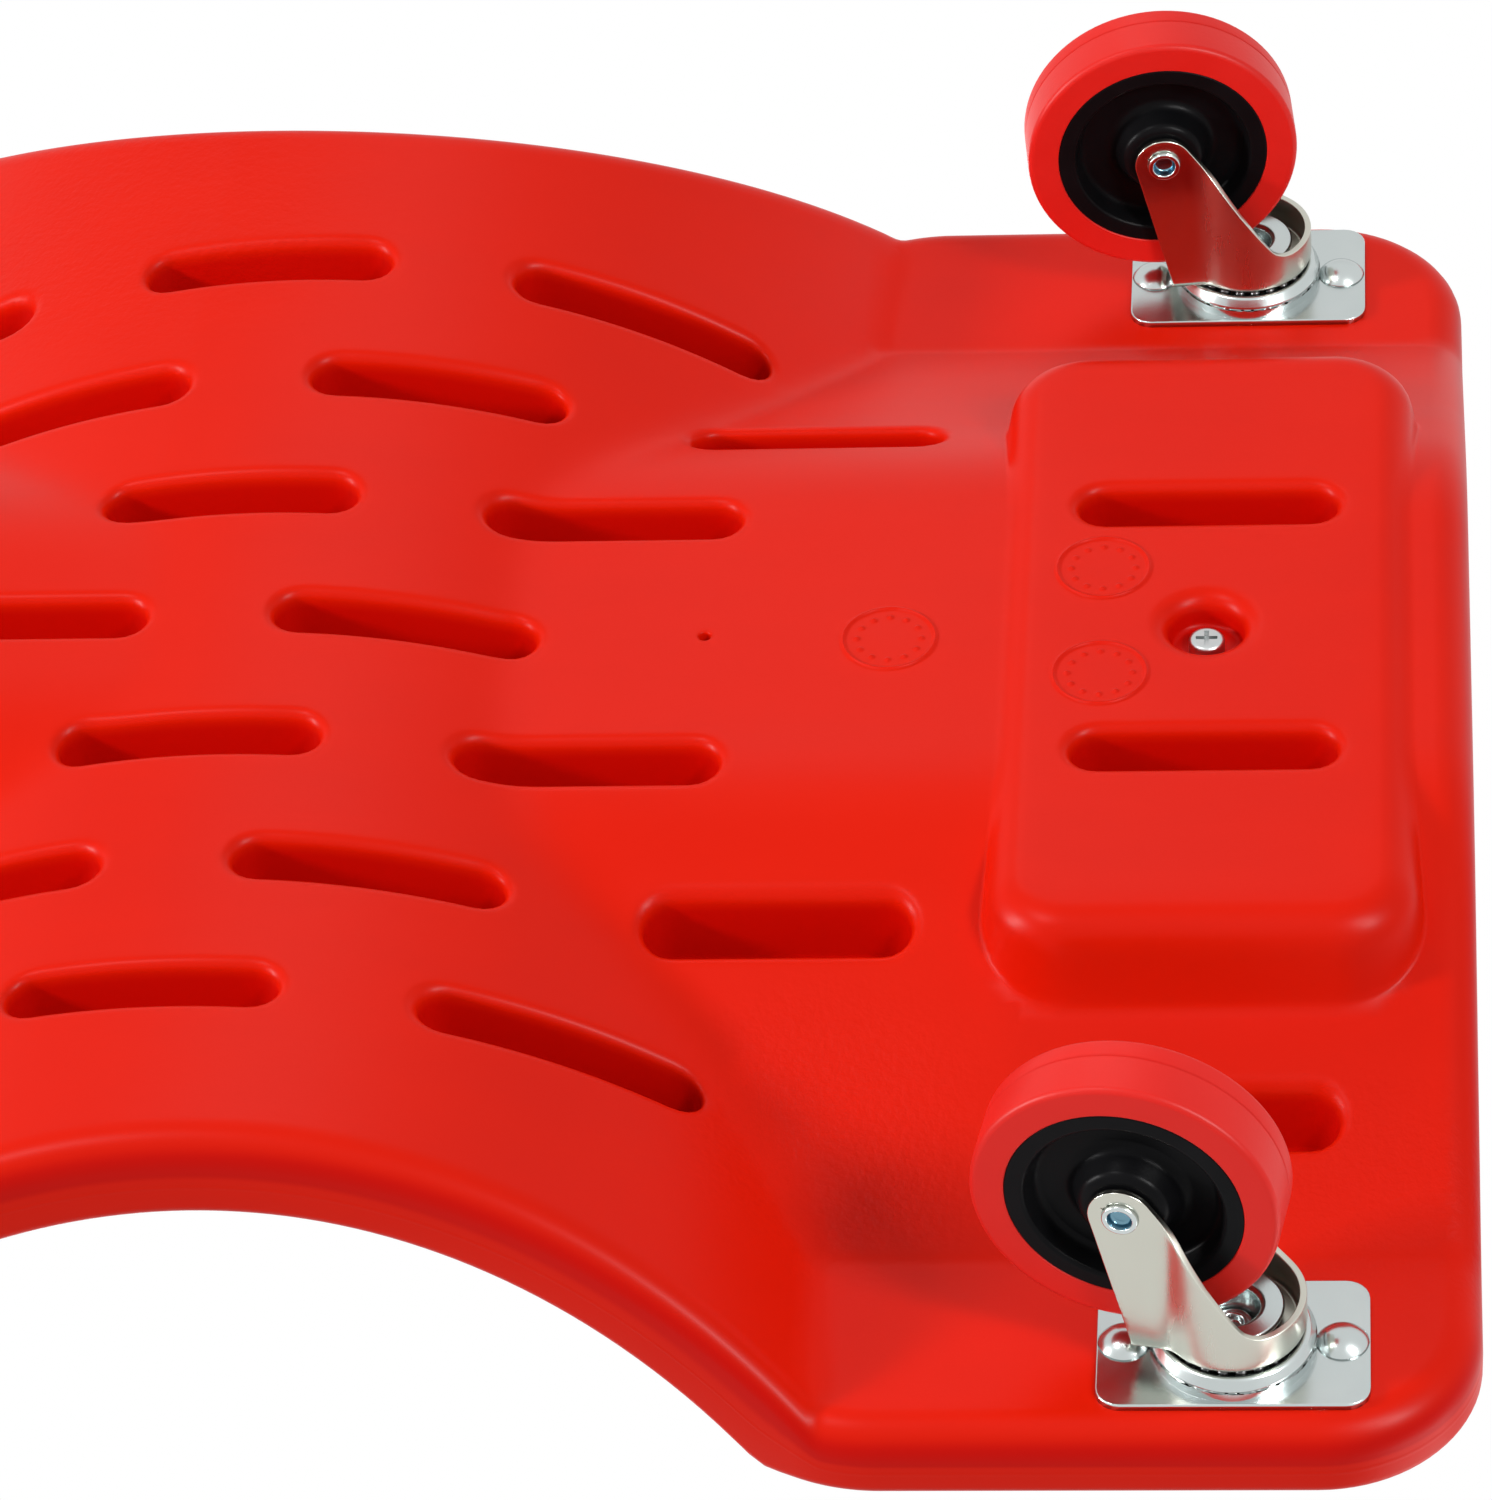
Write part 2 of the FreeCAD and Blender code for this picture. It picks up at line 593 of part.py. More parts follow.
def headrest():
    """Plywood board, foam, sewn cover, tee nut and the screw that holds them down."""
    place = (BLOCK_X, 0)
    low, high = SEAT_Z, SEAT_Z + HEADREST_H
    board_low = low + COVER_T
    board_high = board_low + BOARD_T
    flange_top = board_high + TEE_FLANGE_T
    barrel_r, flange_r, bore = SCREW_D / 2 + TEE_WALL, TEE_FLANGE_D / 2, SCREW_D / 2
    gap = HEADREST_GAP + COVER_T + BOARD_INSET
    length, width, corner = SEAT_L - 2 * gap, SEAT_W - 2 * gap, SEAT_CORNER_R - gap
    inner = headrest_block(COVER_T, (board_low, high - COVER_T))
    hem_l, hem_w = length - 2 * COVER_HEM, width - 2 * COVER_HEM
    mouth = Part.makeBox(hem_l, hem_w, 2 * COVER_T, vec(BLOCK_X - hem_l / 2, -hem_w / 2, low - COVER_T))
    board = rounded_box(length, width, corner, (board_low, board_high), place)
    tee_room = tube(flange_r, 0, (board_high - OVER, flange_top + SOFT_GAP), place)
    barrel = tube(barrel_r, bore, (board_low, board_high), place)
    flange = tube(flange_r, bore, (board_high, flange_top), place)
    return {
        "headrest_board": board.cut(tube(barrel_r, 0, (low, high), place)),
        "headrest_foam": inner.cut([board, tee_room]),
        "headrest_cover": headrest_block(0, (low, high)).cut([inner, mouth]),
        "headrest_tee_nut": barrel.fuse(flange).removeSplitter(),
        "headrest_screw": headrest_screw(flange_top),
    }


os.makedirs("parts", exist_ok=True)
NODES = {"body_shell": body_shell()}
NODES.update(casters())
NODES.update(headrest())
for node, shape in NODES.items():
    shape.exportStep(f"parts/{node}.step")
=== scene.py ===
import bmesh
import bpy
import json
import math
import numpy as np
from mathutils import Matrix, Vector
from mathutils.bvhtree import BVHTree
from mathutils.geometry import delaunay_2d_cdt


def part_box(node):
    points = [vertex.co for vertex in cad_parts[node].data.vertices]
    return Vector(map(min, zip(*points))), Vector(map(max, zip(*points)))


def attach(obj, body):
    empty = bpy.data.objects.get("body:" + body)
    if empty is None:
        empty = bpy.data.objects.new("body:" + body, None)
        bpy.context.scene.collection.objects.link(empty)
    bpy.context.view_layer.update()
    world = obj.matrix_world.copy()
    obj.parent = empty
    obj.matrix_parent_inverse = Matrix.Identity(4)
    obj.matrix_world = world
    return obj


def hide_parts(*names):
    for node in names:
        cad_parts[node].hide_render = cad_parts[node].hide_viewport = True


# A moulded mechanic creeper: its board, casters and headrest dressed over the solids of the frame.
# Sizes are millimetres. +X points to the head end, +Y to the user's right, +Z up from the floor.
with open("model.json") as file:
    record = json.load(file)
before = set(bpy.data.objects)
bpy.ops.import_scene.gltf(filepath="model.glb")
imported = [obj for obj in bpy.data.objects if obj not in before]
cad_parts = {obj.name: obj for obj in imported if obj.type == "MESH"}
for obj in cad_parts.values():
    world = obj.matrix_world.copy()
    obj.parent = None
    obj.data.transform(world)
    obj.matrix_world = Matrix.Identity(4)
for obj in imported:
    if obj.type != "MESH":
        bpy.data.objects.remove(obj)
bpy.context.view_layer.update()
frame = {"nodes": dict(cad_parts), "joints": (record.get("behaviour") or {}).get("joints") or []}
scene = bpy.context.scene
MM = 0.001


def box_mm(node):
    low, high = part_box(node)
    return np.array(low) / MM, np.array(high) / MM


# Board: the frame's box and the moulding's own sizes
HALF_L, HALF_W, WING_TOP = box_mm("body_shell")[1]
PAD_Z = box_mm("head_right_plate")[1][2]
WING_T = WING_TOP - PAD_Z
BELLY_T = 24.7
CORNER_R = 40.0
NOTCH_X = 210.0
NOTCH_R = 308.0
NOTCH_DEPTH = 34.3
NOTCH_Y = HALF_W - NOTCH_DEPTH + NOTCH_R
SHOULDER_R = 50.0
CREASE_Y = 180.0
BED_W = 93.2
TROUGH_DROP = 58.0
NECK_DROP = 48.5
DIP_X = 193.0
DIP_R = 210.0
DIP_DROP = 59.5
DIP_CROWN_R = 3150.0
RAMP = TROUGH_DROP / (CREASE_Y - BED_W / 2)
CREASE_SOFT = 2.6
BED_SOFT = 10.0
DIP_SOFT = 8.0
DIP_SOFT_X = (300.0, 345.0)
UNDER_RIM_R = 9.0
TOP_RIM_R = 3.5
FLASH = 0.08
FLASH_H = 0.5
FLASH_HOLD = 1.1

# Headrest block under the head end, and the seat above it
SEAT_LOW, SEAT_HIGH = box_mm("headrest_cover")
SEAT_MID, SEAT_SIZE = (SEAT_LOW + SEAT_HIGH) / 2, SEAT_HIGH - SEAT_LOW
SEAT_Z = SEAT_LOW[2]
BLOCK_X = SEAT_MID[0]
BLOCK_L = 108.0
BLOCK_W = 233.0
BLOCK_Z = PAD_Z - NECK_DROP - 2.5
BLOCK_CORNER_R = 21.0
BLOCK_RIM_R = 10.0
BLOCK_DRAFT = math.radians(10)
BLOCK_FOOT = 3.5
BLOCK_FOOT_FADE = (-6.0, -1.0)
BLOCK_RINGS = (-10, -8.4, -6.9, -5.5, -4.2, -3.1, -2.1, -1.3, -0.6, 0, 0.5, 1, 1.5, 2, 2.5, 3)
SEAT_WALL = 4.0
WELL_R = 10.0
WELL_DEPTH = 9.0
WELL_FORM = (5.0, 1.5, 0.5)
SEAT_FORM = (3.0, 2.0, 0.6)

# Pockets, vent and mould marks in the underside, trays in the top
# The form of a recess is its mouth radius, foot radius and draft.
POCKET_L = 68.0
POCKET_W = 14.5
POCKET_FLOOR = 5.0
POCKET_FIRST_X = 333.4
POCKET_PITCH_X = 50.7
POCKET_PITCH_Y = 48.6
POCKET_COLUMNS = 16
POCKET_ROWS = ((-2, 0, 2), (-3, -1, 1, 3))
POCKET_FORM = (3.2, 2.5, 0.7)
VENT_X = 310.0
VENT_R = 1.6
VENT_DEPTH = 7.0
VENT_FORM = (0.7, 0.4, 0.1)
MARKS = [(358.0, 2.0), (413.0, 19.5), (413.0, -22.5)]
MARK_R = 12.0
MARK_RISE = 0.55
MARK_SECTION = ((1.35, 0), (0.45, 0), (0.225, 0.7), (0, 1), (-0.225, 0.7), (-0.45, 0), (-1.35, 0))
DOT_COUNT = 12
DOT_R = 0.55
DOT_REACH = 0.7 * MARK_R
DOT_SECTION = ((0.9, 0), (0.3, 0), (0, 0.7), (-0.25, 1))
TRAY_L = 88.0
TRAY_W = 44.0
TRAY_Y = 208.0
TRAY_Z = WING_TOP - 9.0
TRAY_CORNER_R = 14.0
TRAY_FORM = (2.2, 3.5, 0.6)

# Casters, about the swivel axis, with heights from the pad
SWIVEL = "_swivel_turn"
JOINTS = {joint["name"]: Vector(joint["pos_m"]) for joint in frame["joints"]}
PIVOTS = {name.removesuffix(SWIVEL): at for name, at in JOINTS.items() if name.endswith(SWIVEL)}
PLATE_L = 66.0
PLATE_W = 42.0
PLATE_T = 1.8
PLATE_CORNER_R = 6.0
PLATE_EDGE_R = 0.5
RIVET_PITCH = 52.4
RIVET_HEAD_R = 6.5
RIVET_HEAD_H = 3.6
RIVET_R = 3.2
RIVET_TAIL_R = 5.5
RIVET_TAIL_Z = (3.0, 5.6)
CROWN_Z = -8.4
CROWN_R = 18.0
CROWN_BEND_R = 2.6
CROWN_HOLE_R = 8.6
SHEET = 1.8
SHEET_EDGE_R = 0.3
SHARP_TURN = math.radians(50)
WAIST_R = 7.0
LEG_OUT = 13.0
LEG_END_R = 8.0
HEEL_X = 22.3
LIP_X = 8.0
LIP_Z = -18.8
LIP_BEND_R = 9.0
TRAIL = 23.5
AXLE_DROP = 52.4
AXLE_R = 4.0
AXLE_BORE_R = 3.1
WHEEL_R = 37.5
TREAD_W = 18.2
TREAD_EDGE_R = 1.7
TREAD_LINE = (0.35, 0.4)
HUB_R = 29.0

# Turned profiles: radius, height and corner radius at each corner, with the hub's and the axle's upper halves
DOME_PROFILE = [(6.6, -5.0, 0), (16.6, -5.0, 0.2), (16.9, -7.9, 0.7), (18.5, -7.9, 1.2), (20.3, -4.9, 2.6)]
DOME_PROFILE += [(20.1, -PLATE_T, 0.2), (20.3, -PLATE_T, 0)]
CUP_PROFILE = [(4.0, -5.0, 0), (6.6, -5.0, 0.8), (7.8, -13.6, 1.2), (12.6, -13.6, 0.4)]
CUP_PROFILE += [(12.6, -15.1, 0.7), (6.8, -15.1, 1.8), (5.1, -6.5, 0.8), (4.0, -6.5, 0)]
KINGPIN_PROFILE = [(0.0, -0.8, 0), (7.0, -0.8, 0.4), (7.0, -3.2, 0), (4.0, -3.2, 0), (4.0, -6.5, 0)]
KINGPIN_PROFILE += [(5.0, -6.5, 0), (4.8, -8.9, 0.9), (2.7, -8.9, 0.7), (2.3, -7.0, 0.6), (0.0, -6.9, 0)]
HUB_PROFILE = [(HUB_R, 9.0, 0.4), (24.4, 9.0, 1.3), (22.6, 3.2, 2.4), (13.6, 3.0, 3.6)]
HUB_PROFILE += [(10.6, 10.5, 2.8), (6.05, 10.5, 0.4)]
AXLE_PROFILE = [(0.0, 11.8, 0), (2.6, 12.0, 0.8), (AXLE_BORE_R, 14.2, 0.4), (4.3, 14.2, 0.5)]
AXLE_PROFILE += [(4.6, LEG_OUT, 0), (AXLE_R, LEG_OUT, 0)]

# Headrest
PAD_SLACK = 5.0
PAD_CORNER_R = 17.5
PAD_VOXEL = 4.5
PAD_PRESSURE = 4.0
PAD_FRAMES = 20
PAD_SWELL = 8.0
PAD_HELD = 6.0
PAD_FOOT = (9.0, 18.0)
SEAM_Z = SEAT_HIGH[2] - 11
SEAM_SINK = 1.6
SEAM_BAND = 3.2
PUCKERS = 58
PUCKER_SINK = 0.35
PUCKER_BAND = 9.0
PIPING_R = 1.9
PIPING_PROUD = 0.4
SEAM_RAY = 30.0

# Mesh fineness
EDGE_STEP = 4.0
GRID_STEP = 4.5
CREASE_ROWS = (-3.4, -2.2, -1.1, 0.0, 1.1, 2.2, 3.4)
HOLD = 0.8
ROUND_STEPS = 6
RIM_STEPS = 8
PLATE_STEPS = 5
LEG_STEPS = 24
DOME_STEPS = 14
RACE_STEPS = 14
LIP_STEPS = 8
TURN_STEPS = 96
SMALL_TURN_STEPS = 64
DISC_STEPS = 12
CLEAR = 2.2
WIDE_CLEAR = 3.0
BLOCK_CLEAR = (2.5, 1.5)
FORK_STEP = 1.4
FORK_EDGE_STEP = 1.2
FORK_CLEAR = 0.8

# Finishes: linear colours, most as two shades that a finish varies between, and one painted shade for the
# pockets
BOARD_RED = (0.755, 0.0095, 0.0003, 1), (0.795, 0.0115, 0.0005, 1)
# Painted shade: the board's colour deep in its pockets
POCKET_PAINTED_SHADE = (0.665, 0.0035, 0.0002, 1)
TYRE_RED = (0.81, 0.016, 0.01, 1), (0.85, 0.025, 0.018, 1)
HUB_BLACK = (0.0035, 0.0035, 0.004, 1), (0.008, 0.008, 0.009, 1)
FORK_ZINC = (0.54, 0.54, 0.47, 1), (0.59, 0.59, 0.52, 1)
PLATE_ZINC = (0.5, 0.55, 0.55, 1), (0.58, 0.62, 0.61, 1)
AXLE_ZINC = (0.55, 0.61, 0.61, 1), (0.62, 0.66, 0.65, 1)
SCREW_ZINC = (0.4, 0.42, 0.42, 1), (0.72, 0.74, 0.74, 1)
# Painted shade with a painted blue reflection, inside the axle rivet's bore
BORE_SHADE_AND_REFLECTION = (0.16, 0.3, 0.38, 1)
# Dark steel as painted shade for the bearing balls in their gap
BEARING_PAINTED_SHADE = (0.03, 0.03, 0.03, 1), (0.16, 0.16, 0.16, 1)
VINYL_BLACK = (0.006, 0.006, 0.0065, 1), (0.02, 0.02, 0.021, 1)
PLY_BROWN = (0.36, 0.21, 0.1, 1), (0.62, 0.45, 0.27, 1)
# Painted shade in the underside's recesses: the depth attribute, and the depths over which the colour darkens
RECESS = "recess_mm"
POCKET_SHADE_DEPTH = (2.0, 6.0)
PEBBLED = [((145, -172, 31), 90.0), ((347, 151, 77), 58.0), ((482, 166, 84), 50.0), ((-150, 160, 31), 80.0)]

# Light and camera: even light on the object, and what its gloss shows of the surround behind it
AMBIENT = 0.44
BEHIND = 0.9
BEHIND_Y = (-1.0, -0.75)
LAMP_AIM = (0.15, 0, 0.06)
FLOOR_REACH = 4.0
WHITE = (1, 1, 1, 1)
FLOOR_SHADE = (0.2, 0.2, 0.2, 1)
SHADE_REACH = 0.3
LENS = 178.1
SENSOR = 36.0
CAMERA_AT = (0.4902, 1.4653, -1.1959)
CAMERA_AXES = ((0.99605, -0.05938, 0.06607), (0.01075, -0.65763, -0.75326), (0.08818, 0.75100, -0.65439))


class Wire:
    """A socket's value, usable in plain arithmetic: each operation adds a Math node."""

    def __init__(self, nodes, socket):
        self.nodes = nodes
        self.socket = socket

    def _math(self, operation, first, second):
        return self.nodes.node("ShaderNodeMath", {"operation": operation}, {0: first, 1: second})

    def __add__(self, other):
        return self._math("ADD", self, other)

    __radd__ = __add__

    def __sub__(self, other):
        return self._math("SUBTRACT", self, other)

    def __rsub__(self, other):
        return self._math("SUBTRACT", other, self)

    def __mul__(self, other):
        return self._math("MULTIPLY", self, other)

    __rmul__ = __mul__


class Nodes:
    """A node tree under construction."""

    def __init__(self, tree):
        self.tree = tree
        tree.nodes.clear()

    def feed(self, socket, value):
        """Sets a socket to a number or colour, or links it to a wire."""
        if isinstance(value, Wire):
            self.tree.links.new(value.socket, socket)
        else:
            socket.default_value = value

    def node(self, kind, settings, sockets, output=0):
        """Adds a node, applies its settings, feeds its sockets and returns one output as a wire."""
        node = self.tree.nodes.new(kind)
        for name, value in settings.items():
            setattr(node, name, value)
        for name, value in sockets.items():
            self.feed(node.inputs[name], value)
        return Wire(self, node.outputs[output])

    def close(self, kind, shader):
        """Adds the tree's output and feeds it a shader."""
        self.output = self.tree.nodes.new(kind)
        self.feed(self.output.inputs["Surface"], shader)


class Finish(Nodes):
    """A material under construction, with a Principled surface."""

    def __init__(self, name, **surface):
        self.material = bpy.data.materials.new(name)
        self.material.use_nodes = True
        super().__init__(self.material.node_tree)
        self.shader = self.tree.nodes.new("ShaderNodeBsdfPrincipled")
        self.look = Wire(self, self.shader.outputs[0])
        self.close("ShaderNodeOutputMaterial", self.look)
        self.surface(**surface)

    def surface(self, **values):
        for name, value in values.items():
            self.feed(self.shader.inputs[name.replace("_", " ")], value)

    def vector(self, operation, *sockets, output=0):
        return self.node("ShaderNodeVectorMath", {"operation": operation}, dict(enumerate(sockets)), output)

    def place(self):
        return self.node("ShaderNodeTexCoord", {}, {}, "Object")

    def texture(self, kind, settings, scale, stretch=(1, 1, 1), **sockets):
        """A texture in the piece's own space; its scale is in waves per metre."""
        where = self.vector("MULTIPLY", self.place(), stretch)
        return self.node(kind, settings, {"Vector": where, "Scale": scale, **sockets})

    def noise(self, scale, detail=2.0, roughness=0.5, stretch=(1, 1, 1)):
        """Even noise about 0.5."""
        return self.texture("ShaderNodeTexNoise", {}, scale, stretch, Detail=detail, Roughness=roughness)

    def near(self, spot, reach):
        """1 about a spot in millimetres, falling to 0 at its reach."""
        away = self.vector("DISTANCE", self.place(), [c * MM for c in spot], output=1)
        return self.ramp(away, reach * MM, 0.3 * reach * MM)

    def from_axis(self):
        """Distance from the piece's own Z axis."""
        return self.vector("LENGTH", self.vector("MULTIPLY", self.place(), (1, 1, 0)), output=1)

    def ramp(self, value, low, high):
        """Rises smoothly from 0 to 1 between two values, and is held at both ends."""
        sockets = {"Value": value, "From Min": low, "From Max": high}
        return self.node("ShaderNodeMapRange", {"interpolation_type": "SMOOTHSTEP"}, sockets)

    def blend(self, factor, first, second):
        """Mixes two colours."""
        return self.node("ShaderNodeMix", {"data_type": "RGBA"}, {0: factor, 6: first, 7: second}, 2)

    def done(self, colour, roughness, height=0.0, depth_mm=0.0):
        """The material, with its colour, its roughness and a bump of a real depth from a height of 0 to 1."""
        self.surface(Base_Color=colour, Roughness=roughness)
        if depth_mm:
            sockets = {"Height": height, "Distance": depth_mm * MM, "Strength": 1.0}
            self.surface(Normal=self.node("ShaderNodeBump", {}, sockets))
        return self.material


def board_plastic():
    """Satin blow-moulded polyethylene, with painted shade that darkens its colour deep in its pockets, and a
    few pebbled patches.
    """
    finish = Finish("board_plastic", Specular_IOR_Level=0.1)
    cloud = finish.noise(9.0, 3.0)
    patch = sum(finish.near(spot, reach) for spot, reach in PEBBLED)
    fine = finish.noise(1500.0)
    pebble = finish.noise(430.0, 2.0, 0.6)
    flow = finish.noise(40.0, 4.0, 0.55, (0.35, 1.0, 1.0))
    red = finish.blend(finish.ramp(cloud * 0.7 + flow * 0.3, 0.3, 0.7), *BOARD_RED)
    depth = finish.node("ShaderNodeAttribute", {"attribute_name": RECESS}, {}, "Fac")
    # Painted shade: the colour darkens towards the pocket shade with depth into a recess
    colour = finish.blend(finish.ramp(depth, *POCKET_SHADE_DEPTH), red, POCKET_PAINTED_SHADE)
    height = 0.05 * fine + patch * pebble + 0.05 * flow
    return finish.done(colour, 0.31 + 0.1 * flow + 0.06 * patch, height, 0.22)


def wheel_plastic(name, shine, shades, roughness, cloud_scale, grain_scale, grain_share):
    """A smooth moulding with soft handling marks and a fine grain."""
    finish = Finish(name, Specular_IOR_Level=shine)
    cloud, grain = finish.noise(cloud_scale, 3.0), finish.noise(grain_scale)
    low, high = roughness
    height = grain * grain_share + cloud * (1 - grain_share)
    return finish.done(finish.blend(cloud, *shades), low + (high - low) * cloud, height, 0.05)


def zinc_plate(name, shades, roughness, bore=None, worked=None):
    """Bright zinc-plated steel with drawn marks, a painted dark-blue shade and reflection inside a bore,
    duller in worked bends about Z.
    """
    finish = Finish(name, Metallic=1.0)
    tint = finish.noise(45.0, 3.0)
    drawn = finish.noise(160.0, 4.0, 0.6, (1.0, 1.0, 0.2))
    speck = finish.noise(1500.0)
    colour = finish.blend(tint, *shades)
    if bore:
        # Painted shade and a painted blue reflection inside the bore
        outside = finish.ramp(finish.from_axis(), 0.9 * bore * MM, bore * MM)
        colour = finish.blend(outside, BORE_SHADE_AND_REFLECTION, colour)
    if worked:
        roughness = roughness + 0.1 * finish.ramp(finish.from_axis(), 1.2 * worked * MM, 0.95 * worked * MM)
    roughness = roughness + 0.1 * drawn + 0.05 * tint
    return finish.done(colour, roughness, 0.12 * drawn + 0.2 * speck + 0.5 * tint, 0.03)


def bearing_steel():
    """Balls and turned bushes in dark steel, as painted shade for the gaps that they sit in."""
    finish = Finish("bearing_steel", Metallic=1.0)
    mottle = finish.noise(260.0, 3.0)
    return finish.done(finish.blend(mottle, *BEARING_PAINTED_SHADE), 0.15 + 0.25 * mottle)


def headrest_vinyl():
    """Black upholstery vinyl with a leather grain."""
    finish = Finish("headrest_vinyl", Specular_IOR_Level=0.22)
    cells = finish.texture("ShaderNodeTexVoronoi", {"feature": "DISTANCE_TO_EDGE"}, 640.0)
    wrinkle = finish.noise(170.0, 4.0, 0.6)
    cloud = finish.noise(30.0, 3.0)
    grain = finish.ramp(cells, 0.0, 0.22)
    colour = finish.blend(grain * 0.6 + cloud * 0.4, *VINYL_BLACK)
    return finish.done(colour, 0.52 - 0.12 * grain + 0.1 * cloud, grain * 0.6 + wrinkle * 0.4, 0.22)


def plywood():
    """Plain plywood with its plies showing at the edges."""
    finish = Finish("plywood")
    grain = finish.noise(60.0, 5.0, 0.6, (1.0, 0.08, 1.0))
    plies = finish.texture("ShaderNodeTexWave", {"bands_direction": "Z"}, 170.0)
    return finish.done(finish.blend(grain * 0.6 + plies * 0.4, *PLY_BROWN), 0.6 + 0.2 * grain, grain, 0.1)


RED_BOARD = board_plastic()
RED_TYRE = wheel_plastic("tyre_urethane", 0.2, TYRE_RED, (0.34, 0.46), 60.0, 900.0, 0.6)
BLACK_HUB = wheel_plastic("hub_plastic", 0.05, HUB_BLACK, (0.24, 0.38), 80.0, 1400.0, 0.5)
ZINC_WARM = zinc_plate("zinc_fork", FORK_ZINC, 0.12, worked=CROWN_R)
ZINC_COOL = zinc_plate("zinc_plate", PLATE_ZINC, 0.15)
ZINC_BORE = zinc_plate("zinc_rivet", AXLE_ZINC, 0.12, bore=AXLE_BORE_R)
ZINC_DULL = zinc_plate("zinc_screw", SCREW_ZINC, 0.22)
BRIGHT = bearing_steel()
VINYL = headrest_vinyl()


def new_mesh(name, points, faces, material):
    """A smooth-shaded mesh from points in millimetres."""
    mesh = bpy.data.meshes.new(name)
    mesh.from_pydata((np.asarray(points, float) * MM).tolist(), [], [list(map(int, f)) for f in faces])
    mesh.materials.append(material)
    mesh.shade_smooth()
    return mesh


def modify(obj, name, kind, **settings):
    """Adds a modifier with its settings."""
    modifier = obj.modifiers.new(name, kind)
    for key, value in settings.items():
        setattr(modifier, key, value)


def even_normals(obj):
    """Keeps broad flat faces flat beside rounded edges."""
    modify(obj, "even", "WEIGHTED_NORMAL", weight=100)


def linked(name, data):
    """A new object in the scene."""
    obj = bpy.data.objects.new(name, data)
    scene.collection.objects.link(obj)
    return obj


def add_piece(name, mesh, place, body, slot, *nodes):
    """Adds a piece at its place, riding on a body in place of the nodes that it stands for."""
    obj = linked(name, mesh)
    obj.matrix_world = place
    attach(obj, body)
    if nodes:
        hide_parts(*nodes)
    return obj


def add_hard_piece(*details):
    """Adds a rigid piece whose flat faces stay flat beside its rounded edges."""
    even_normals(add_piece(*details))


def full_turn(count):
    return np.arange(count) * 2 * math.pi / count


def heading(turn):
    return np.array([math.cos(turn), math.sin(turn)])


def line(start, end, step=EDGE_STEP):
    """Points from start up to, not with, end, and their normals to the right of the way."""
    start, end = np.array(start, float), np.array(end, float)
    along = end - start
    length = np.hypot(*along)
    count = max(1, round(length / step))
    points = start + np.outer(np.arange(count) / count, along)
    return points, np.tile([along[1] / length, -along[0] / length], (count, 1))


def arc(centre, radius, start, end, step=EDGE_STEP, outward=1, fewest=6):
    """Points on an arc up to, not with, its end angle in radians, and their normals."""
    count = max(fewest, round(radius * abs(end - start) / step))
    turns = start + (end - start) * np.arange(count) / count
    away = np.stack([np.cos(turns), np.sin(turns)], 1)
    return np.array(centre, float) + radius * away, outward * away


def joined(*parts):
    return np.concatenate([p for p, _ in parts]), np.concatenate([n for _, n in parts])


def mirrored(plan, x_sign, y_sign):
    """A run of points and normals seen in a mirror, walked the other way round if that turns it over."""
    points, normals = plan
    flip = np.array([x_sign, y_sign])
    order = slice(None, None, x_sign * y_sign)
    return points[order] * flip, normals[order] * flip


class Plan:
    """A rounded rectangle in plan; a slot or a circle is one with full corners."""

    def __init__(self, x, y, length, width, corner, step=EDGE_STEP, fewest=6):
        self.centre = np.array([x, y], float)
        self.half = np.array([length, width], float) / 2
        self.corner = corner
        middles = self.centre + (self.half - corner) * np.array([(1, 1), (-1, 1), (-1, -1), (1, -1)])
        parts = []
        for quarter, (middle, following) in enumerate(zip(middles, np.roll(middles, -1, 0))):
            turn = quarter * math.pi / 2
            parts.append(arc(middle, corner, turn, turn + math.pi / 2, step, 1, fewest))
            after = heading(turn + math.pi / 2) * corner
            start, end = middle + after, following + after
            if np.hypot(*(end - start)) > 0.01:
                parts.append(line(start, end, step))
        self.points, self.normals = joined(*parts)

    def gap(self, points):
        """Distance of points from the edge: positive outside, negative inside."""
        beyond = np.abs(points - self.centre) - (self.half - self.corner)
        outside = np.hypot(*np.maximum(beyond, 0).T)
        return outside + np.minimum(beyond.max(1), 0) - self.corner


def circle(x, y, radius, step, fewest=6):
    return Plan(x, y, 2 * radius, 2 * radius, radius, step, fewest)


class Skin:
    """One side of a shell: rings and loose points in plan, each with a height, joined by triangles."""

    def __init__(self):
        self.points = np.zeros((0, 2))
        self.heights = np.zeros(0)
        self.edges = []

    def scatter(self, points, heights):
        first = len(self.points)
        self.points = np.concatenate([self.points, points])
        self.heights = np.concatenate([self.heights, np.broadcast_to(heights, len(points))])
        return np.arange(first, len(self.points))

    def ring(self, points, heights):
        index = self.scatter(points, heights)
        self.edges += zip(index.tolist(), np.roll(index, -1).tolist())
        return index

    def faces(self):
        flat = [Vector(p) for p in self.points]
        _, _, faces, origins, _, _ = delaunay_2d_cdt(flat, self.edges, [], 1, 1e-7)
        back = [o[0] for o in origins]
        return [[back[i] for i in face] for face in faces]

    def corners(self):
        return np.column_stack([self.points, self.heights])


def quarter_round(steps=ROUND_STEPS):
    """Insets and rises along a quarter of a unit circle."""
    return [(1 - math.sin(turn), 1 - math.cos(turn)) for turn in np.linspace(0, math.pi / 2, steps)]


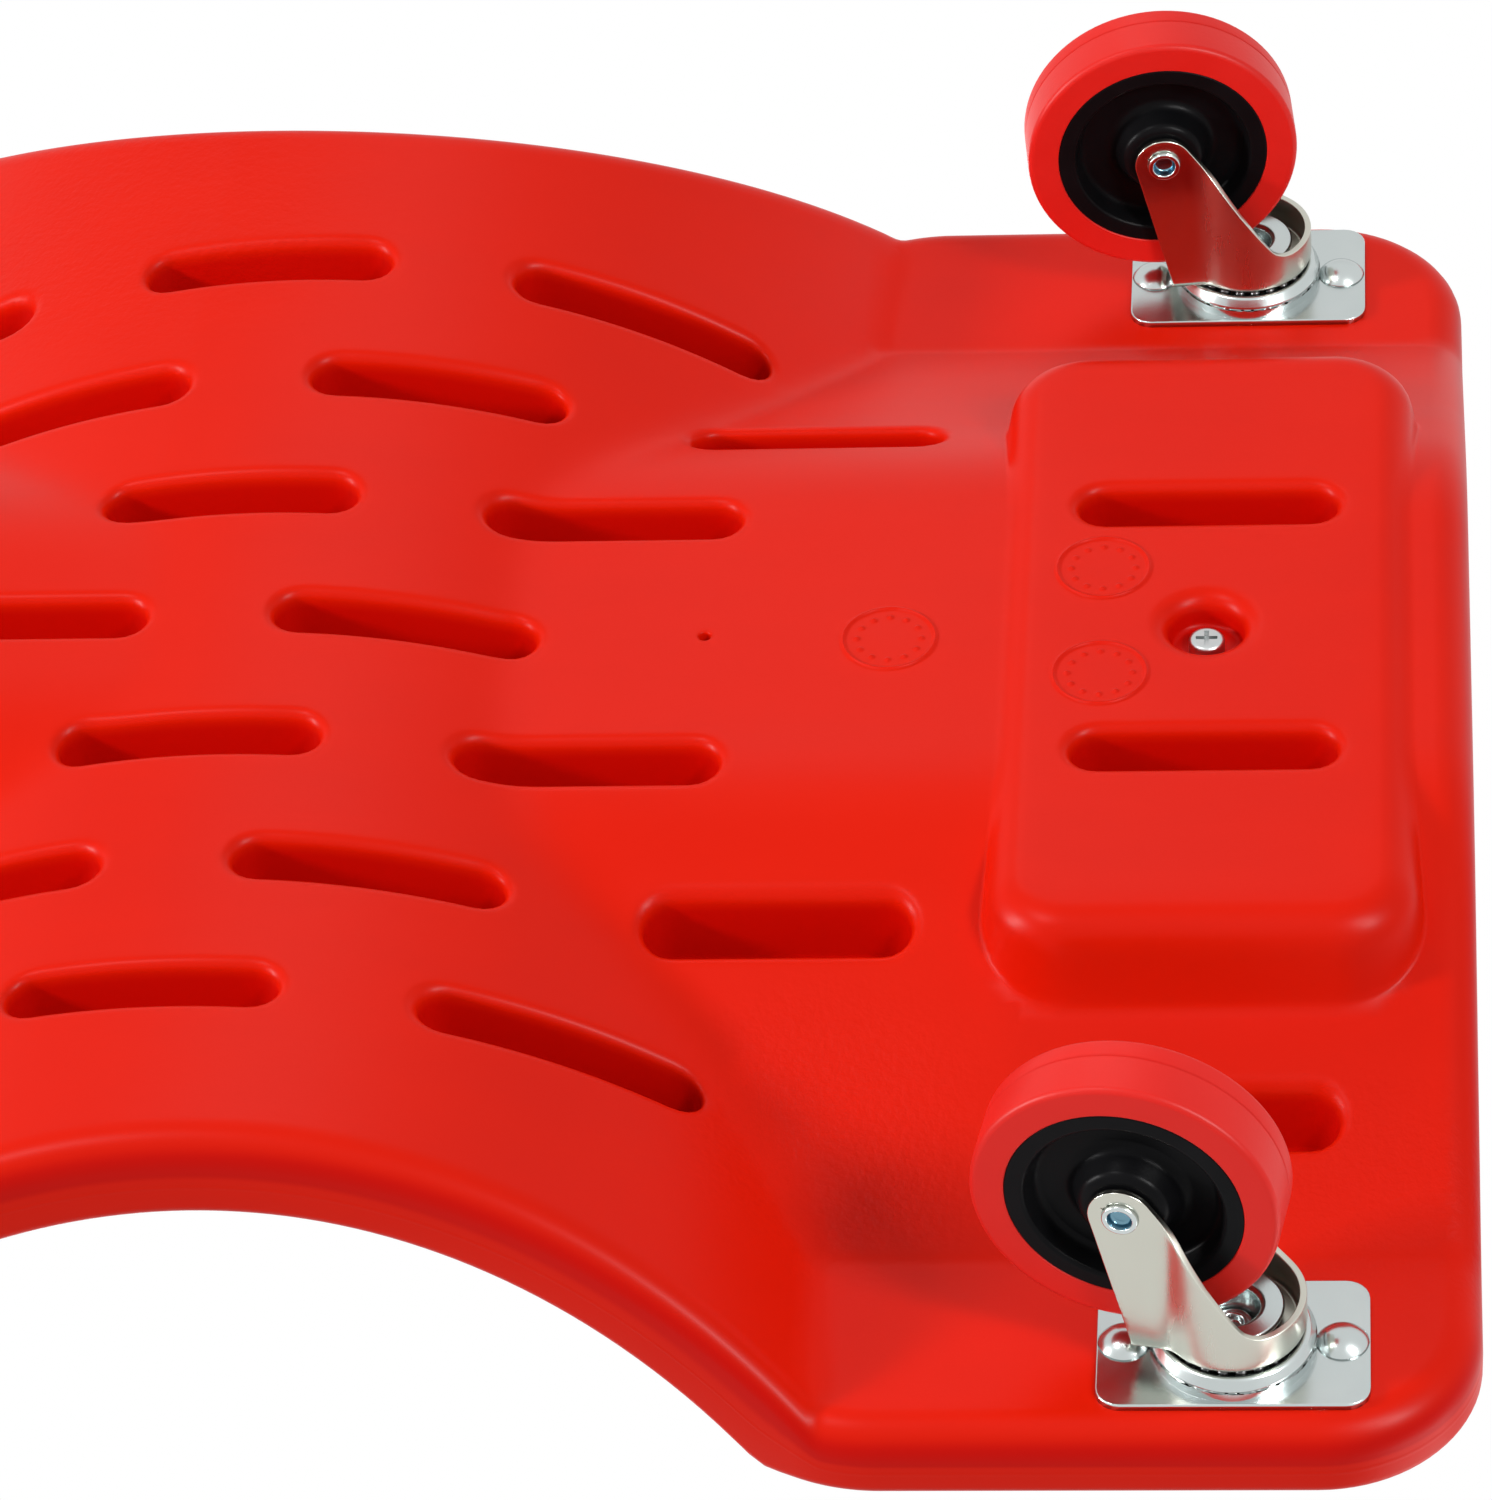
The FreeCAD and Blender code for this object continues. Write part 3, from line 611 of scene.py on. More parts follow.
def recess(skin, plan, base, floor, mouth_r, foot_r, draft):
    """Adds the rings of a blind recess, from its rounded mouth in the base to its rounded foot."""
    def bend(points, radius):
        low, deep = base(points), floor(points)
        return low, deep, np.minimum(radius, np.abs(deep - low) / 2) * np.sign(deep - low)

    lead = plan.points + plan.normals * (mouth_r + HOLD)
    skin.ring(lead, base(lead))
    for inset, rise in quarter_round():
        points = plan.points + plan.normals * mouth_r * inset
        low, _, radius = bend(points, mouth_r)
        skin.ring(points, low + radius * rise)
    for inset, rise in quarter_round():
        points = plan.points - plan.normals * (draft + foot_r * rise)
        _, deep, radius = bend(points, foot_r)
        skin.ring(points, deep - radius * inset)


def formed(x, y, wing_rise, belly_rise):
    """Height of the board's formed surface with crisp creases, raised from its underside."""
    wing = PAD_Z + wing_rise
    ramp = PAD_Z + belly_rise * math.hypot(1, RAMP) - (CREASE_Y - np.abs(y)) * RAMP
    bed = PAD_Z + belly_rise - np.where(x < DIP_X, TROUGH_DROP, NECK_DROP)
    share = np.maximum(1 - np.abs(ramp - bed) / BED_SOFT, 0)
    surface = np.minimum(wing, np.maximum(ramp, bed) + share ** 2 * BED_SOFT / 4)
    radius = DIP_R - belly_rise
    for centre in (-DIP_X, DIP_X):
        reach = np.sqrt(np.maximum(radius ** 2 - (x - centre) ** 2, 0))
        dip = PAD_Z - DIP_DROP + DIP_R - y ** 2 / (2 * DIP_CROWN_R) - reach
        surface = np.minimum(surface, dip)
    return surface


def softened(points, wing_rise, belly_rise):
    """The formed surface with its creases rounded, as the mean over a small disc: softer round the dips."""
    total = formed(*points.T, wing_rise, belly_rise)
    count = 1
    reach = np.interp(np.abs(points[:, 0]), DIP_SOFT_X, (DIP_SOFT, CREASE_SOFT))
    for share in (1 / 3, 2 / 3, 1):
        for turn in full_turn(DISC_STEPS):
            moved = points + share * reach[:, None] * heading(turn)
            total = total + formed(*moved.T, wing_rise, belly_rise)
            count += 1
    return total / count


BLOCK = Plan(BLOCK_X, 0, BLOCK_L, BLOCK_W, BLOCK_CORNER_R, 3.0)
SEAT = Plan(BLOCK_X, 0, BLOCK_L - 2 * SEAT_WALL, BLOCK_W - 2 * SEAT_WALL, BLOCK_CORNER_R - SEAT_WALL, 3.0)


def underside(points):
    """Height of the board's underside with the headrest block, before pockets and rims."""
    base = softened(points, 0, 0)
    gap = BLOCK.gap(points)
    arc_end = BLOCK_RIM_R * math.cos(BLOCK_DRAFT)
    run = gap + BLOCK_RIM_R
    bend = np.clip(run, 0, arc_end)
    rise = BLOCK_RIM_R - np.sqrt(BLOCK_RIM_R ** 2 - bend ** 2)
    rise = rise + np.maximum(run - arc_end, 0) / math.tan(BLOCK_DRAFT)
    block = BLOCK_Z + rise
    reach = np.maximum(np.interp(gap, BLOCK_FOOT_FADE, (0, BLOCK_FOOT)), 1e-6)
    share = np.clip(1 - np.abs(base - block) / reach, 0, 1)
    return np.minimum(base, block) - share ** 2 * reach / 4


def topside(points):
    """Height of the board's top, before its recesses and rims."""
    return softened(points, WING_T, BELLY_T)


def pocket_floor(points):
    top = np.where(SEAT.gap(points) < 0, np.minimum(topside(points), SEAT_Z), topside(points))
    return top - POCKET_FLOOR


def level(height):
    return lambda points: np.full(len(points), height)


def board_outline():
    """The board's plan, walked counter-clockwise from the middle of the head end."""
    shoulder_y = HALF_W - SHOULDER_R
    rise = NOTCH_Y - shoulder_y
    spread = math.sqrt((NOTCH_R + SHOULDER_R) ** 2 - rise ** 2)
    lean = math.atan2(rise, spread)
    near_x, far_x = NOTCH_X + spread, NOTCH_X - spread
    corner = (HALF_L - CORNER_R, HALF_W - CORNER_R)
    quarter = joined(
        line((HALF_L, 0), (HALF_L, corner[1])),
        arc(corner, CORNER_R, 0, math.pi / 2, 3.0),
        line((corner[0], HALF_W), (near_x, HALF_W)),
        arc((near_x, shoulder_y), SHOULDER_R, math.pi / 2, math.pi - lean, 1.5),
        arc((NOTCH_X, NOTCH_Y), NOTCH_R, -lean, lean - math.pi, EDGE_STEP, -1),
        arc((far_x, shoulder_y), SHOULDER_R, lean, math.pi / 2, 1.5),
        line((far_x, HALF_W), (0, HALF_W)),
    )
    middle = ([[0.0, HALF_W]], [[0.0, 1.0]])
    half = joined(quarter, middle, mirrored(quarter, -1, 1))
    lower = mirrored(half, 1, -1)
    return np.concatenate([half[0], lower[0][1:-1]]), np.concatenate([half[1], lower[1][1:-1]])


def inside_outline(points, inset):
    """Which points lie inside the board's plan by at least an inset."""
    room = -Plan(0, 0, 2 * HALF_L, 2 * HALF_W, CORNER_R).gap(points)
    away = np.hypot(*(np.abs(points) - [NOTCH_X, NOTCH_Y]).T) - NOTCH_R
    return np.minimum(room, away) > inset


def lattice(x, y):
    return np.stack(np.meshgrid(x, y), -1).reshape(-1, 2)


def grid():
    x = np.arange(-HALF_L, HALF_L, GRID_STEP) + GRID_STEP / 2
    y = np.arange(-HALF_W, HALF_W, GRID_STEP) + GRID_STEP / 2
    y = y[np.abs(np.abs(y) - CREASE_Y) > CREASE_ROWS[-1] + 1]
    y = np.concatenate([y, CREASE_Y + np.array(CREASE_ROWS), -CREASE_Y + np.array(CREASE_ROWS)])
    return lattice(x, y)


def pocket_plans():
    places = []
    for column in range(POCKET_COLUMNS):
        x = POCKET_FIRST_X - column * POCKET_PITCH_X
        places += [(x, row * POCKET_PITCH_Y) for row in POCKET_ROWS[column % 2] if column or row]
    places += [(BLOCK_X, row * POCKET_PITCH_Y) for row in POCKET_ROWS[1]]
    return [Plan(x, y, POCKET_L, POCKET_W, POCKET_W / 2, 2.6, 5) for x, y in places]


def rim(skin, outline, base, radius, up):
    """Adds the rings of a rounded outer rim and returns the outermost one."""
    points, normals = outline
    if up > 0:
        lead = points - normals * (FLASH + radius + HOLD)
        skin.ring(lead, base(lead))
    for inset, rise in quarter_round(RIM_STEPS):
        placed = points - normals * (FLASH + radius * inset)
        outer = skin.ring(placed, base(placed) + up * radius * rise)
    return outer


def mould_mark(skin, x, y):
    """A plain raised ring with a dial of dots, as moulds carry."""
    ring = circle(x, y, MARK_R, 1.3)
    raised = [(ring, MARK_SECTION)]
    for turn in full_turn(DOT_COUNT):
        raised.append((circle(*(ring.centre + DOT_REACH * heading(turn)), DOT_R, 0.8, 3), DOT_SECTION))
    for plan, section in raised:
        for offset, share in section:
            points = plan.points + plan.normals * offset
            skin.ring(points, underside(points) - share * MARK_RISE)
    return ring


def board_under(outline):
    """The board's underside: block, pockets, screw well, vent and mould marks."""
    skin = Skin()
    outer = rim(skin, outline, underside, UNDER_RIM_R, 1)
    recesses = [(plan, pocket_floor, POCKET_FORM) for plan in pocket_plans()]
    recesses.append((circle(BLOCK_X, 0, WELL_R, 1.6), level(BLOCK_Z + WELL_DEPTH), WELL_FORM))
    recesses.append((circle(VENT_X, 0, VENT_R, 0.5), level(PAD_Z - NECK_DROP + VENT_DEPTH), VENT_FORM))
    features = []
    for plan, floor, form in recesses:
        recess(skin, plan, underside, floor, *form)
        features.append((plan, form[0]))
    for x, y in MARKS:
        features.append((mould_mark(skin, x, y), MARK_SECTION[0][0]))
    for offset in BLOCK_RINGS:
        points = BLOCK.points + BLOCK.normals * offset
        skin.ring(points, underside(points))
    loose = grid()
    keep = inside_outline(loose, UNDER_RIM_R + WIDE_CLEAR)
    edge = BLOCK.gap(loose)
    keep &= (edge < -BLOCK_RIM_R - BLOCK_CLEAR[0]) | (edge > BLOCK_RINGS[-1] + BLOCK_CLEAR[1])
    for plan, reach in features:
        keep &= plan.gap(loose) > reach + CLEAR
    skin.scatter(loose[keep], underside(loose[keep]))
    return skin, outer


def board_top(outline):
    """The board's top: the dished lying surface, the headrest's seat and the two trays."""
    skin = Skin()
    outer = rim(skin, outline, topside, TOP_RIM_R, -1)
    loose = grid()
    keep = inside_outline(loose, TOP_RIM_R + WIDE_CLEAR)
    trays = [Plan(0, y, TRAY_L, TRAY_W, TRAY_CORNER_R, 2.5) for y in (-TRAY_Y, TRAY_Y)]
    recesses = [(SEAT, SEAT_Z, SEAT_FORM)] + [(tray, TRAY_Z, TRAY_FORM) for tray in trays]
    for plan, floor, form in recesses:
        recess(skin, plan, topside, level(floor), *form)
        gap = plan.gap(loose)
        keep &= gap > form[0] + CLEAR
        skin.scatter(loose[gap < -form[1] - WIDE_CLEAR], floor)
    skin.scatter(loose[keep], topside(loose[keep]))
    return skin, outer


def rounded(corners, closed=True, steps=5):
    """A line through corners (x, y, radius), with each corner rounded by its radius."""
    out = []
    for index, (x, y, radius) in enumerate(corners):
        here = np.array([x, y], float)
        if radius == 0 or (not closed and index in (0, len(corners) - 1)):
            out.append(here)
            continue
        before = np.array(corners[index - 1][:2]) - here
        after = np.array(corners[(index + 1) % len(corners)][:2]) - here
        before, after = before / np.hypot(*before), after / np.hypot(*after)
        half = math.acos(np.clip(before @ after, -1, 1)) / 2
        inward = (before + after) / np.hypot(*(before + after))
        middle = here + inward * radius / math.sin(half)
        reach = radius / math.tan(half)
        first, last = here + before * reach - middle, here + after * reach - middle
        start = math.atan2(first[1], first[0])
        sweep = math.atan2(first[0] * last[1] - first[1] * last[0], first @ last)
        for turn in start + sweep * np.arange(steps + 1) / steps:
            out.append(middle + radius * heading(turn))
    return np.array(out)


def bands(rows):
    """Faces that join closed rows of points, each row to the next."""
    faces = []
    for low, high in zip(rows, rows[1:]):
        faces += np.stack([low, np.roll(low, -1), np.roll(high, -1), high], 1).tolist()
    return faces


def turned_mesh(name, profile, closed, material, count=TURN_STEPS, spots=((0, 0, 0),)):
    """A profile (radius, height) turned about Z, at each of some spots."""
    turns = full_turn(count)
    radius, height = profile[:, :1], profile[:, 1:]
    points = np.stack([radius * np.cos(turns), radius * np.sin(turns), height + 0 * turns], -1).reshape(-1, 3)
    rows = np.arange(len(points)).reshape(-1, count)
    faces = bands(np.concatenate([rows, rows[:1]]) if closed else rows)
    all_points = np.concatenate([points + np.array(spot) for spot in spots])
    all_faces = [[i + k * len(points) for i in face] for k in range(len(spots)) for face in faces]
    mesh = new_mesh(name, all_points, all_faces, material)
    weld(mesh)
    return mesh


def numbered(first, rows):
    """Indices for rows of points, counted on from a first one."""
    ends = first + np.cumsum([0] + [len(row) for row in rows])
    return [np.arange(start, end) for start, end in zip(ends, ends[1:])]


def closed_shell(under, under_edge, top, top_edge, middle_rows):
    """Points and faces of two skins joined by a wall, with any rows between."""
    count = len(under.points)
    rows = [under_edge, *numbered(count + len(top.points), middle_rows), top_edge + count]
    faces = [f[::-1] for f in under.faces()] + [[i + count for i in f] for f in top.faces()]
    return np.concatenate([under.corners(), top.corners(), *middle_rows]), faces + bands(rows)


def weld(mesh):
    """Joins the points of a mesh that coincide."""
    work = bmesh.new()
    work.from_mesh(mesh)
    bmesh.ops.remove_doubles(work, verts=work.verts, dist=1e-6)
    work.to_mesh(mesh)
    work.free()
    mesh.shade_smooth()


def board():
    """The whole moulded board, closed by its edge wall with the moulding's flash line."""
    points, normals = outline = board_outline()
    under, under_edge = board_under(outline)
    top, top_edge = board_top(outline)
    middle = (under.heights[under_edge] + top.heights[top_edge]) / 2
    flash = [(FLASH, -FLASH_HOLD), (FLASH, -FLASH_H), (0.0, 0.0), (FLASH, FLASH_H), (FLASH, FLASH_HOLD)]
    rows = [np.column_stack([points - normals * inset, middle + shift]) for inset, shift in flash]
    mesh = new_mesh("moulded_board", *closed_shell(under, under_edge, top, top_edge, rows), RED_BOARD)
    # Depth of the underside into its recesses, which the board's finish turns into painted shade
    depth = np.zeros(len(mesh.vertices))
    depth[:len(under.points)] = under.heights - underside(under.points)
    mesh.attributes.new(RECESS, "FLOAT", "POINT").data.foreach_set("value", depth)
    add_piece("moulded_board", mesh, Matrix(), "root", "red_board", "body_shell")


def plate_mesh():
    """The pressed top plate with its raised race."""
    under = Skin()
    edge = Plan(0, 0, PLATE_L, PLATE_W, PLATE_CORNER_R, 2.0)
    for inset, rise in quarter_round(PLATE_STEPS):
        points = edge.points - edge.normals * PLATE_EDGE_R * inset
        outer = under.ring(points, -PLATE_T + PLATE_EDGE_R * rise)
    for radius, height in rounded(DOME_PROFILE, closed=False):
        under.ring(circle(0, 0, radius, radius / RACE_STEPS).points, height)
    top = Skin()
    back = top.ring(edge.points, 0.0)
    return new_mesh("caster_plate", *closed_shell(under, outer, top, back, []), ZINC_COOL)


def fork_path():
    """The fork's outer wall in plan, from one leg's rear end round the crown to the other's."""
    waist_y = LEG_OUT + WAIST_R
    waist_x = math.sqrt((CROWN_R + WAIST_R) ** 2 - waist_y ** 2)
    lean = math.atan2(waist_y, waist_x)
    half = joined(
        line((TRAIL + LEG_END_R + 1, LEG_OUT), (HEEL_X, LEG_OUT), 1.3),
        line((HEEL_X, LEG_OUT), (waist_x, LEG_OUT), 1.3),
        arc((waist_x, waist_y), WAIST_R, -math.pi / 2, lean - math.pi, 0.8, -1),
        arc((0, 0), CROWN_R, lean, math.pi, 1.3),
    )
    front = ([[-CROWN_R, 0.0]], [[-1.0, 0.0]])
    return joined(half, front, mirrored(half, 1, -1))


def touching(start, centre, radius, side):
    """Where the line from a start point touches a circle, on one side."""
    away = np.array(start, float) - centre
    turn = math.atan2(away[1], away[0]) - side * math.acos(radius / np.hypot(*away))
    return np.array(centre) + radius * heading(turn)


def spaced(points, step):
    """A line's points with more between them, no further apart than a step."""
    out = []
    for start, end in zip(points, points[1:]):
        count = max(1, math.ceil(np.hypot(*(end - start)) / step))
        out += [start + (end - start) * k / count for k in range(count)]
    return np.array(out + [points[-1]])


def inside_loop(points, loop):
    """Which points lie inside a closed loop."""
    x, y = points[:, :1], points[:, 1:]
    ax, ay = loop.T
    bx, by = np.roll(loop, -1, 0).T
    span = np.where(by == ay, 1e-9, by - ay)
    crossed = ((ay > y) != (by > y)) & (x < (bx - ax) * (y - ay) / span + ax)
    return crossed.sum(1) % 2 == 1


def at_height(points, height):
    return np.column_stack([points, np.full(len(points), height)])


def leg_edge(wall_top):
    """One leg's edge seen from its side, from the heel round the axle to the front lip."""
    axle = np.array([TRAIL, -AXLE_DROP])
    heel, lip = (HEEL_X, wall_top), (-LIP_X, LIP_Z)
    rear, front = touching(heel, axle, LEG_END_R, 1), touching(lip, axle, LEG_END_R, -1)
    start, end = (math.atan2(p[1] - axle[1], p[0] - axle[0]) for p in (rear, front))
    leg_end = [axle + LEG_END_R * heading(turn) for turn in np.linspace(start, end, LEG_STEPS)]
    bend = rounded([(*front, 0), (*lip, LIP_BEND_R), (-CROWN_R, LIP_Z, 0)], False, LIP_STEPS)[1:-1]
    return spaced(np.array([heel, *leg_end, *bend]), FORK_EDGE_STEP)


def fork_wall(path, run, crown, wall_top):
    """The fork's wall laid out flat: distance along its path, and height."""
    middle = len(path) // 2
    edge = leg_edge(wall_top)
    along = np.interp(-edge[:, 0], -path[:middle + 1, 0], run[:middle + 1])
    lip_run = np.arange(along[-1] + FORK_EDGE_STEP, run[middle], FORK_EDGE_STEP)
    right = np.concatenate([np.column_stack([along, edge[:, 1]]), at_height(lip_run, LIP_Z)])
    left = right[::-1] * [-1, 1] + [run[-1], 0]
    top_edge = at_height(run[crown], wall_top)
    loop = np.concatenate([right, [[run[middle], LIP_Z]], left[:-1], top_edge[:0:-1]])
    wall = Skin()
    wall.ring(loop, 0.0)
    levels = np.arange(-AXLE_DROP - LEG_END_R, wall_top, FORK_STEP)
    cells = lattice(np.arange(0, run[-1], FORK_STEP), levels)
    cells = cells[inside_loop(cells, loop)]
    away = np.hypot(cells[:, None, 0] - loop[None, :, 0], cells[:, None, 1] - loop[None, :, 1]).min(1)
    wall.scatter(cells[away > FORK_CLEAR], 0.0)
    return wall


def fork_mesh():
    """The pressed fork's outer skin: crown, wrapped front lip and two legs, before it gets its thickness."""
    path, outward = fork_path()
    run = np.concatenate([[0], np.cumsum(np.hypot(*np.diff(path, axis=0).T))])
    crown = path[:, 0] <= HEEL_X + 1e-6
    wall = fork_wall(path, run, crown, CROWN_Z - CROWN_BEND_R)
    along, height = wall.points.T
    points = [np.column_stack([*(np.interp(along, run, axis) for axis in path.T), height])]
    for inset, rise in quarter_round():
        placed = path[crown] - outward[crown] * CROWN_BEND_R * inset
        points.append(at_height(placed, CROWN_Z - CROWN_BEND_R * rise))
    faces = wall.faces()
    rows = numbered(len(along), points[1:])
    for inner, outer in zip(rows, rows[1:]):
        faces += np.stack([inner[:-1], outer[:-1], outer[1:], inner[1:]], 1).tolist()
    roof = Skin()
    roof.ring(points[1][:, :2], CROWN_Z)
    roof.ring(circle(0, 0, CROWN_HOLE_R, 0.9).points, CROWN_Z)
    for face in roof.faces():
        if np.hypot(*roof.points[face].mean(0)) > CROWN_HOLE_R:
            faces.append([i + rows[-1][-1] + 1 for i in face])
    points = np.concatenate(points + [roof.corners()])
    from_axle = points[:, [0, 2]] - [TRAIL, -AXLE_DROP]
    bored = [f for f in faces if np.hypot(*from_axle[f].mean(0)) > AXLE_R]
    return new_mesh("caster_fork", points, bored, ZINC_WARM)


def both_sides(corners):
    """A profile from the middle plane up, followed by its mirror below."""
    return corners + [(radius, -height, bend) for radius, height, bend in reversed(corners)]


def wheel_meshes():
    """Tyre, hub and axle rivet, turned about Z."""
    half = TREAD_W / 2
    line_z, (line_w, line_d) = -half / 3, TREAD_LINE
    tyre = [(HUB_R, half, 0.5), (HUB_R, -half, 0.5), (WHEEL_R, -half, TREAD_EDGE_R)]
    tyre += [(WHEEL_R, line_z - line_w, 0), (WHEEL_R - line_d, line_z, 0), (WHEEL_R, line_z + line_w, 0)]
    tyre += [(WHEEL_R, half, TREAD_EDGE_R)]
    kinds = {"tyre": (tyre, True, RED_TYRE), "hub": (both_sides(HUB_PROFILE), True, BLACK_HUB)}
    kinds["axle"] = (both_sides(AXLE_PROFILE), False, ZINC_BORE)
    meshes = {}
    for name, (corners, closed, material) in kinds.items():
        meshes[name] = turned_mesh("caster_" + name, rounded(corners, closed), closed, material)
    return meshes


def rivet_profile():
    """A plate rivet: a domed head under the plate, and its tail inside the board."""
    ball_r = (RIVET_HEAD_R ** 2 + RIVET_HEAD_H ** 2) / (2 * RIVET_HEAD_H)
    turns = np.linspace(0, math.asin(RIVET_HEAD_R / ball_r), DOME_STEPS)
    low = -PLATE_T - RIVET_HEAD_H
    dome = np.column_stack([ball_r * np.sin(turns), low + ball_r * (1 - np.cos(turns))])
    tail_low, tail_high = RIVET_TAIL_Z
    shank = [(RIVET_R, -PLATE_T), (RIVET_R, tail_low)]
    tail = [(RIVET_TAIL_R, tail_low), (RIVET_TAIL_R, tail_high), (0.0, tail_high)]
    return np.concatenate([dome, shank, tail])


def bearing_meshes():
    """Race cups, kingpins and plate rivets: each kind is one mesh for all casters."""
    pivots = [pivot / MM for pivot in PIVOTS.values()]
    ends = [p + Vector((side * RIVET_PITCH / 2, 0, 0)) for p in pivots for side in (-1, 1)]
    kinds = {"race_cups": (rounded(CUP_PROFILE), True, pivots)}
    kinds["kingpins"] = (rounded(KINGPIN_PROFILE, False), False, pivots)
    kinds["plate_rivets"] = (rivet_profile(), False, ends)
    for name, (profile, closed, spots) in kinds.items():
        mesh = turned_mesh(name + "_bright", profile, closed, ZINC_COOL, SMALL_TURN_STEPS, spots)
        add_hard_piece(name + "_bright", mesh, Matrix(), "root", "zinc_steel", name)


def casters():
    """All six casters, placed and turned as the frame's joints say."""
    plate, fork, wheel = plate_mesh(), fork_mesh(), wheel_meshes()
    weld(fork)
    bodies = {"axle": "swivel", "hub": "wheel", "tyre": "wheel"}
    slots = {"axle": "zinc_steel", "hub": "black_hub", "tyre": "red_tyre"}
    on_axle = Matrix.Translation((TRAIL * MM, 0, -AXLE_DROP * MM)) @ Matrix.Rotation(math.pi / 2, 4, "X")
    for caster, pivot in PIVOTS.items():
        trail = JOINTS[f"{caster}_wheel_roll"] - pivot
        seat = Matrix.Translation(pivot)
        swivel = seat @ Matrix.Rotation(math.atan2(trail.y, trail.x), 4, "Z")
        add_hard_piece(f"{caster}_plate_pressed", plate, seat, "root", "zinc_steel", f"{caster}_plate")
        moving = f"{caster}_swivel"
        body = add_piece(f"{caster}_fork_pressed", fork, swivel, moving, "zinc_steel", f"{caster}_fork")
        modify(body, "sheet", "SOLIDIFY", thickness=SHEET * MM, offset=-1, use_even_offset=True)
        modify(body, "edge", "BEVEL", width=SHEET_EDGE_R * MM, segments=2, angle_limit=SHARP_TURN)
        even_normals(body)
        for part, slot in slots.items():
            node, moving = f"{caster}_{part}", f"{caster}_{bodies[part]}"
            add_hard_piece(f"{node}_turned", wheel[part], swivel @ on_axle, moving, slot, node)


def cushion_start():
    """The headrest's cut-and-sewn form before it is stuffed, a little smaller than its final size."""
    low, high = SEAT_LOW + [PAD_SLACK, PAD_SLACK, 0], SEAT_HIGH - PAD_SLACK
    work = bmesh.new()
    bmesh.ops.create_cube(work, size=1.0)
    for vert in work.verts:
        vert.co = Vector((low + (np.array(vert.co) + 0.5) * (high - low)) * MM)
    uprights = [e for e in work.edges if abs(e.verts[0].co.z - e.verts[1].co.z) > MM]
    bmesh.ops.bevel(work, geom=uprights, offset=PAD_CORNER_R * MM, segments=5, profile=0.5, affect="EDGES")
    mesh = bpy.data.meshes.new("headrest_pad")
    work.to_mesh(mesh)
    work.free()
    mesh.materials.append(VINYL)
    return linked("headrest_pad", mesh)


def evaluated(obj):
    return obj.evaluated_get(bpy.context.evaluated_depsgraph_get())


def settled(obj):
    """Replaces an object's mesh by what its modifiers make of it, and removes them."""
    result = bpy.data.meshes.new_from_object(evaluated(obj))
    obj.modifiers.clear()
    obj.data = result


def points_of(mesh):
    flat = np.empty(3 * len(mesh.vertices))
    mesh.vertices.foreach_get("co", flat)
    return flat.reshape(-1, 3) / MM


def move_points(mesh, points):
    mesh.vertices.foreach_set("co", (points * MM).ravel())
    mesh.update()


def stuff(obj):
    """Swells a sewn form as cloth under the pressure of its filling, held down along its foot."""
    before = points_of(obj.data)
    held = obj.vertex_groups.new(name="held")
    held.add([i for i, p in enumerate(before) if p[2] < SEAT_Z + PAD_HELD], 1.0, "REPLACE")
    cloth = obj.modifiers.new("filling", "CLOTH")
    cloth.settings.use_pressure = True
    cloth.settings.uniform_pressure_force = PAD_PRESSURE
    cloth.settings.effector_weights.gravity = 0
    cloth.settings.vertex_group_mass = "held"
    for step in range(1, PAD_FRAMES + 1):
        scene.frame_set(step)
    after = points_of(evaluated(obj).data)
    obj.modifiers.clear()
    scene.frame_set(1)
    shift = after - before
    reach = np.maximum(np.linalg.norm(shift, axis=1, keepdims=True), 1e-9)
    move_points(obj.data, before + shift * np.minimum(1, PAD_SWELL / reach))


def loop_tube(loop, outward, radius, count=10):
    """Points and faces of a cord along a closed loop in space."""
    along = np.roll(loop, -1, 0) - np.roll(loop, 1, 0)
    along /= np.linalg.norm(along, axis=1, keepdims=True)
    across = np.cross(along, outward)
    points = []
    for turn in full_turn(count):
        points.append(loop + radius * (outward * math.cos(turn) + across * math.sin(turn)))
    points = np.stack(points, 1).reshape(-1, 3)
    rows = np.arange(len(points)).reshape(-1, count)
    return points, bands(np.concatenate([rows, rows[:1]]))


def pad_form():
    """The stuffed pad in the box of its seat, with its foot spread to the seat's full size."""
    obj = cushion_start()
    modify(obj, "cloth_mesh", "REMESH", voxel_size=PAD_VOXEL * MM)
    settled(obj)
    stuff(obj)
    points = points_of(obj.data)
    low, high = points.min(0), points.max(0)
    move_points(obj.data, SEAT_LOW + (points - low) * SEAT_SIZE / (high - low))
    modify(obj, "finer", "SUBSURF", levels=1, render_levels=1)
    settled(obj)
    points = points_of(obj.data)
    centre = SEAT_MID[:2]
    foot = points[points[:, 2] < SEAT_Z + PAD_FOOT[0], :2]
    spread = SEAT_SIZE[:2] / np.ptp(foot, axis=0)
    share = np.interp(points[:, 2], np.array(PAD_FOOT) + SEAT_Z, (1, 0))[:, None]
    points[:, :2] = centre + (points[:, :2] - centre) * (1 + share * (spread - 1))
    return obj, points


def sewn(points):
    """A pad's points drawn in along its seam, with small puckers above it."""
    outward = points - SEAT_MID
    turn = np.arctan2(outward[:, 1], outward[:, 0])
    outward[:, 2] = 0
    outward /= np.maximum(np.linalg.norm(outward, axis=1, keepdims=True), 1)
    above = points[:, 2] - SEAM_Z
    band = np.exp(-(above / SEAM_BAND) ** 2)
    pucker = np.sin(PUCKERS * turn) * np.exp(-(above / PUCKER_BAND) ** 2) * (above > 0)
    return points - outward * (SEAM_SINK * band + PUCKER_SINK * pucker)[:, None]


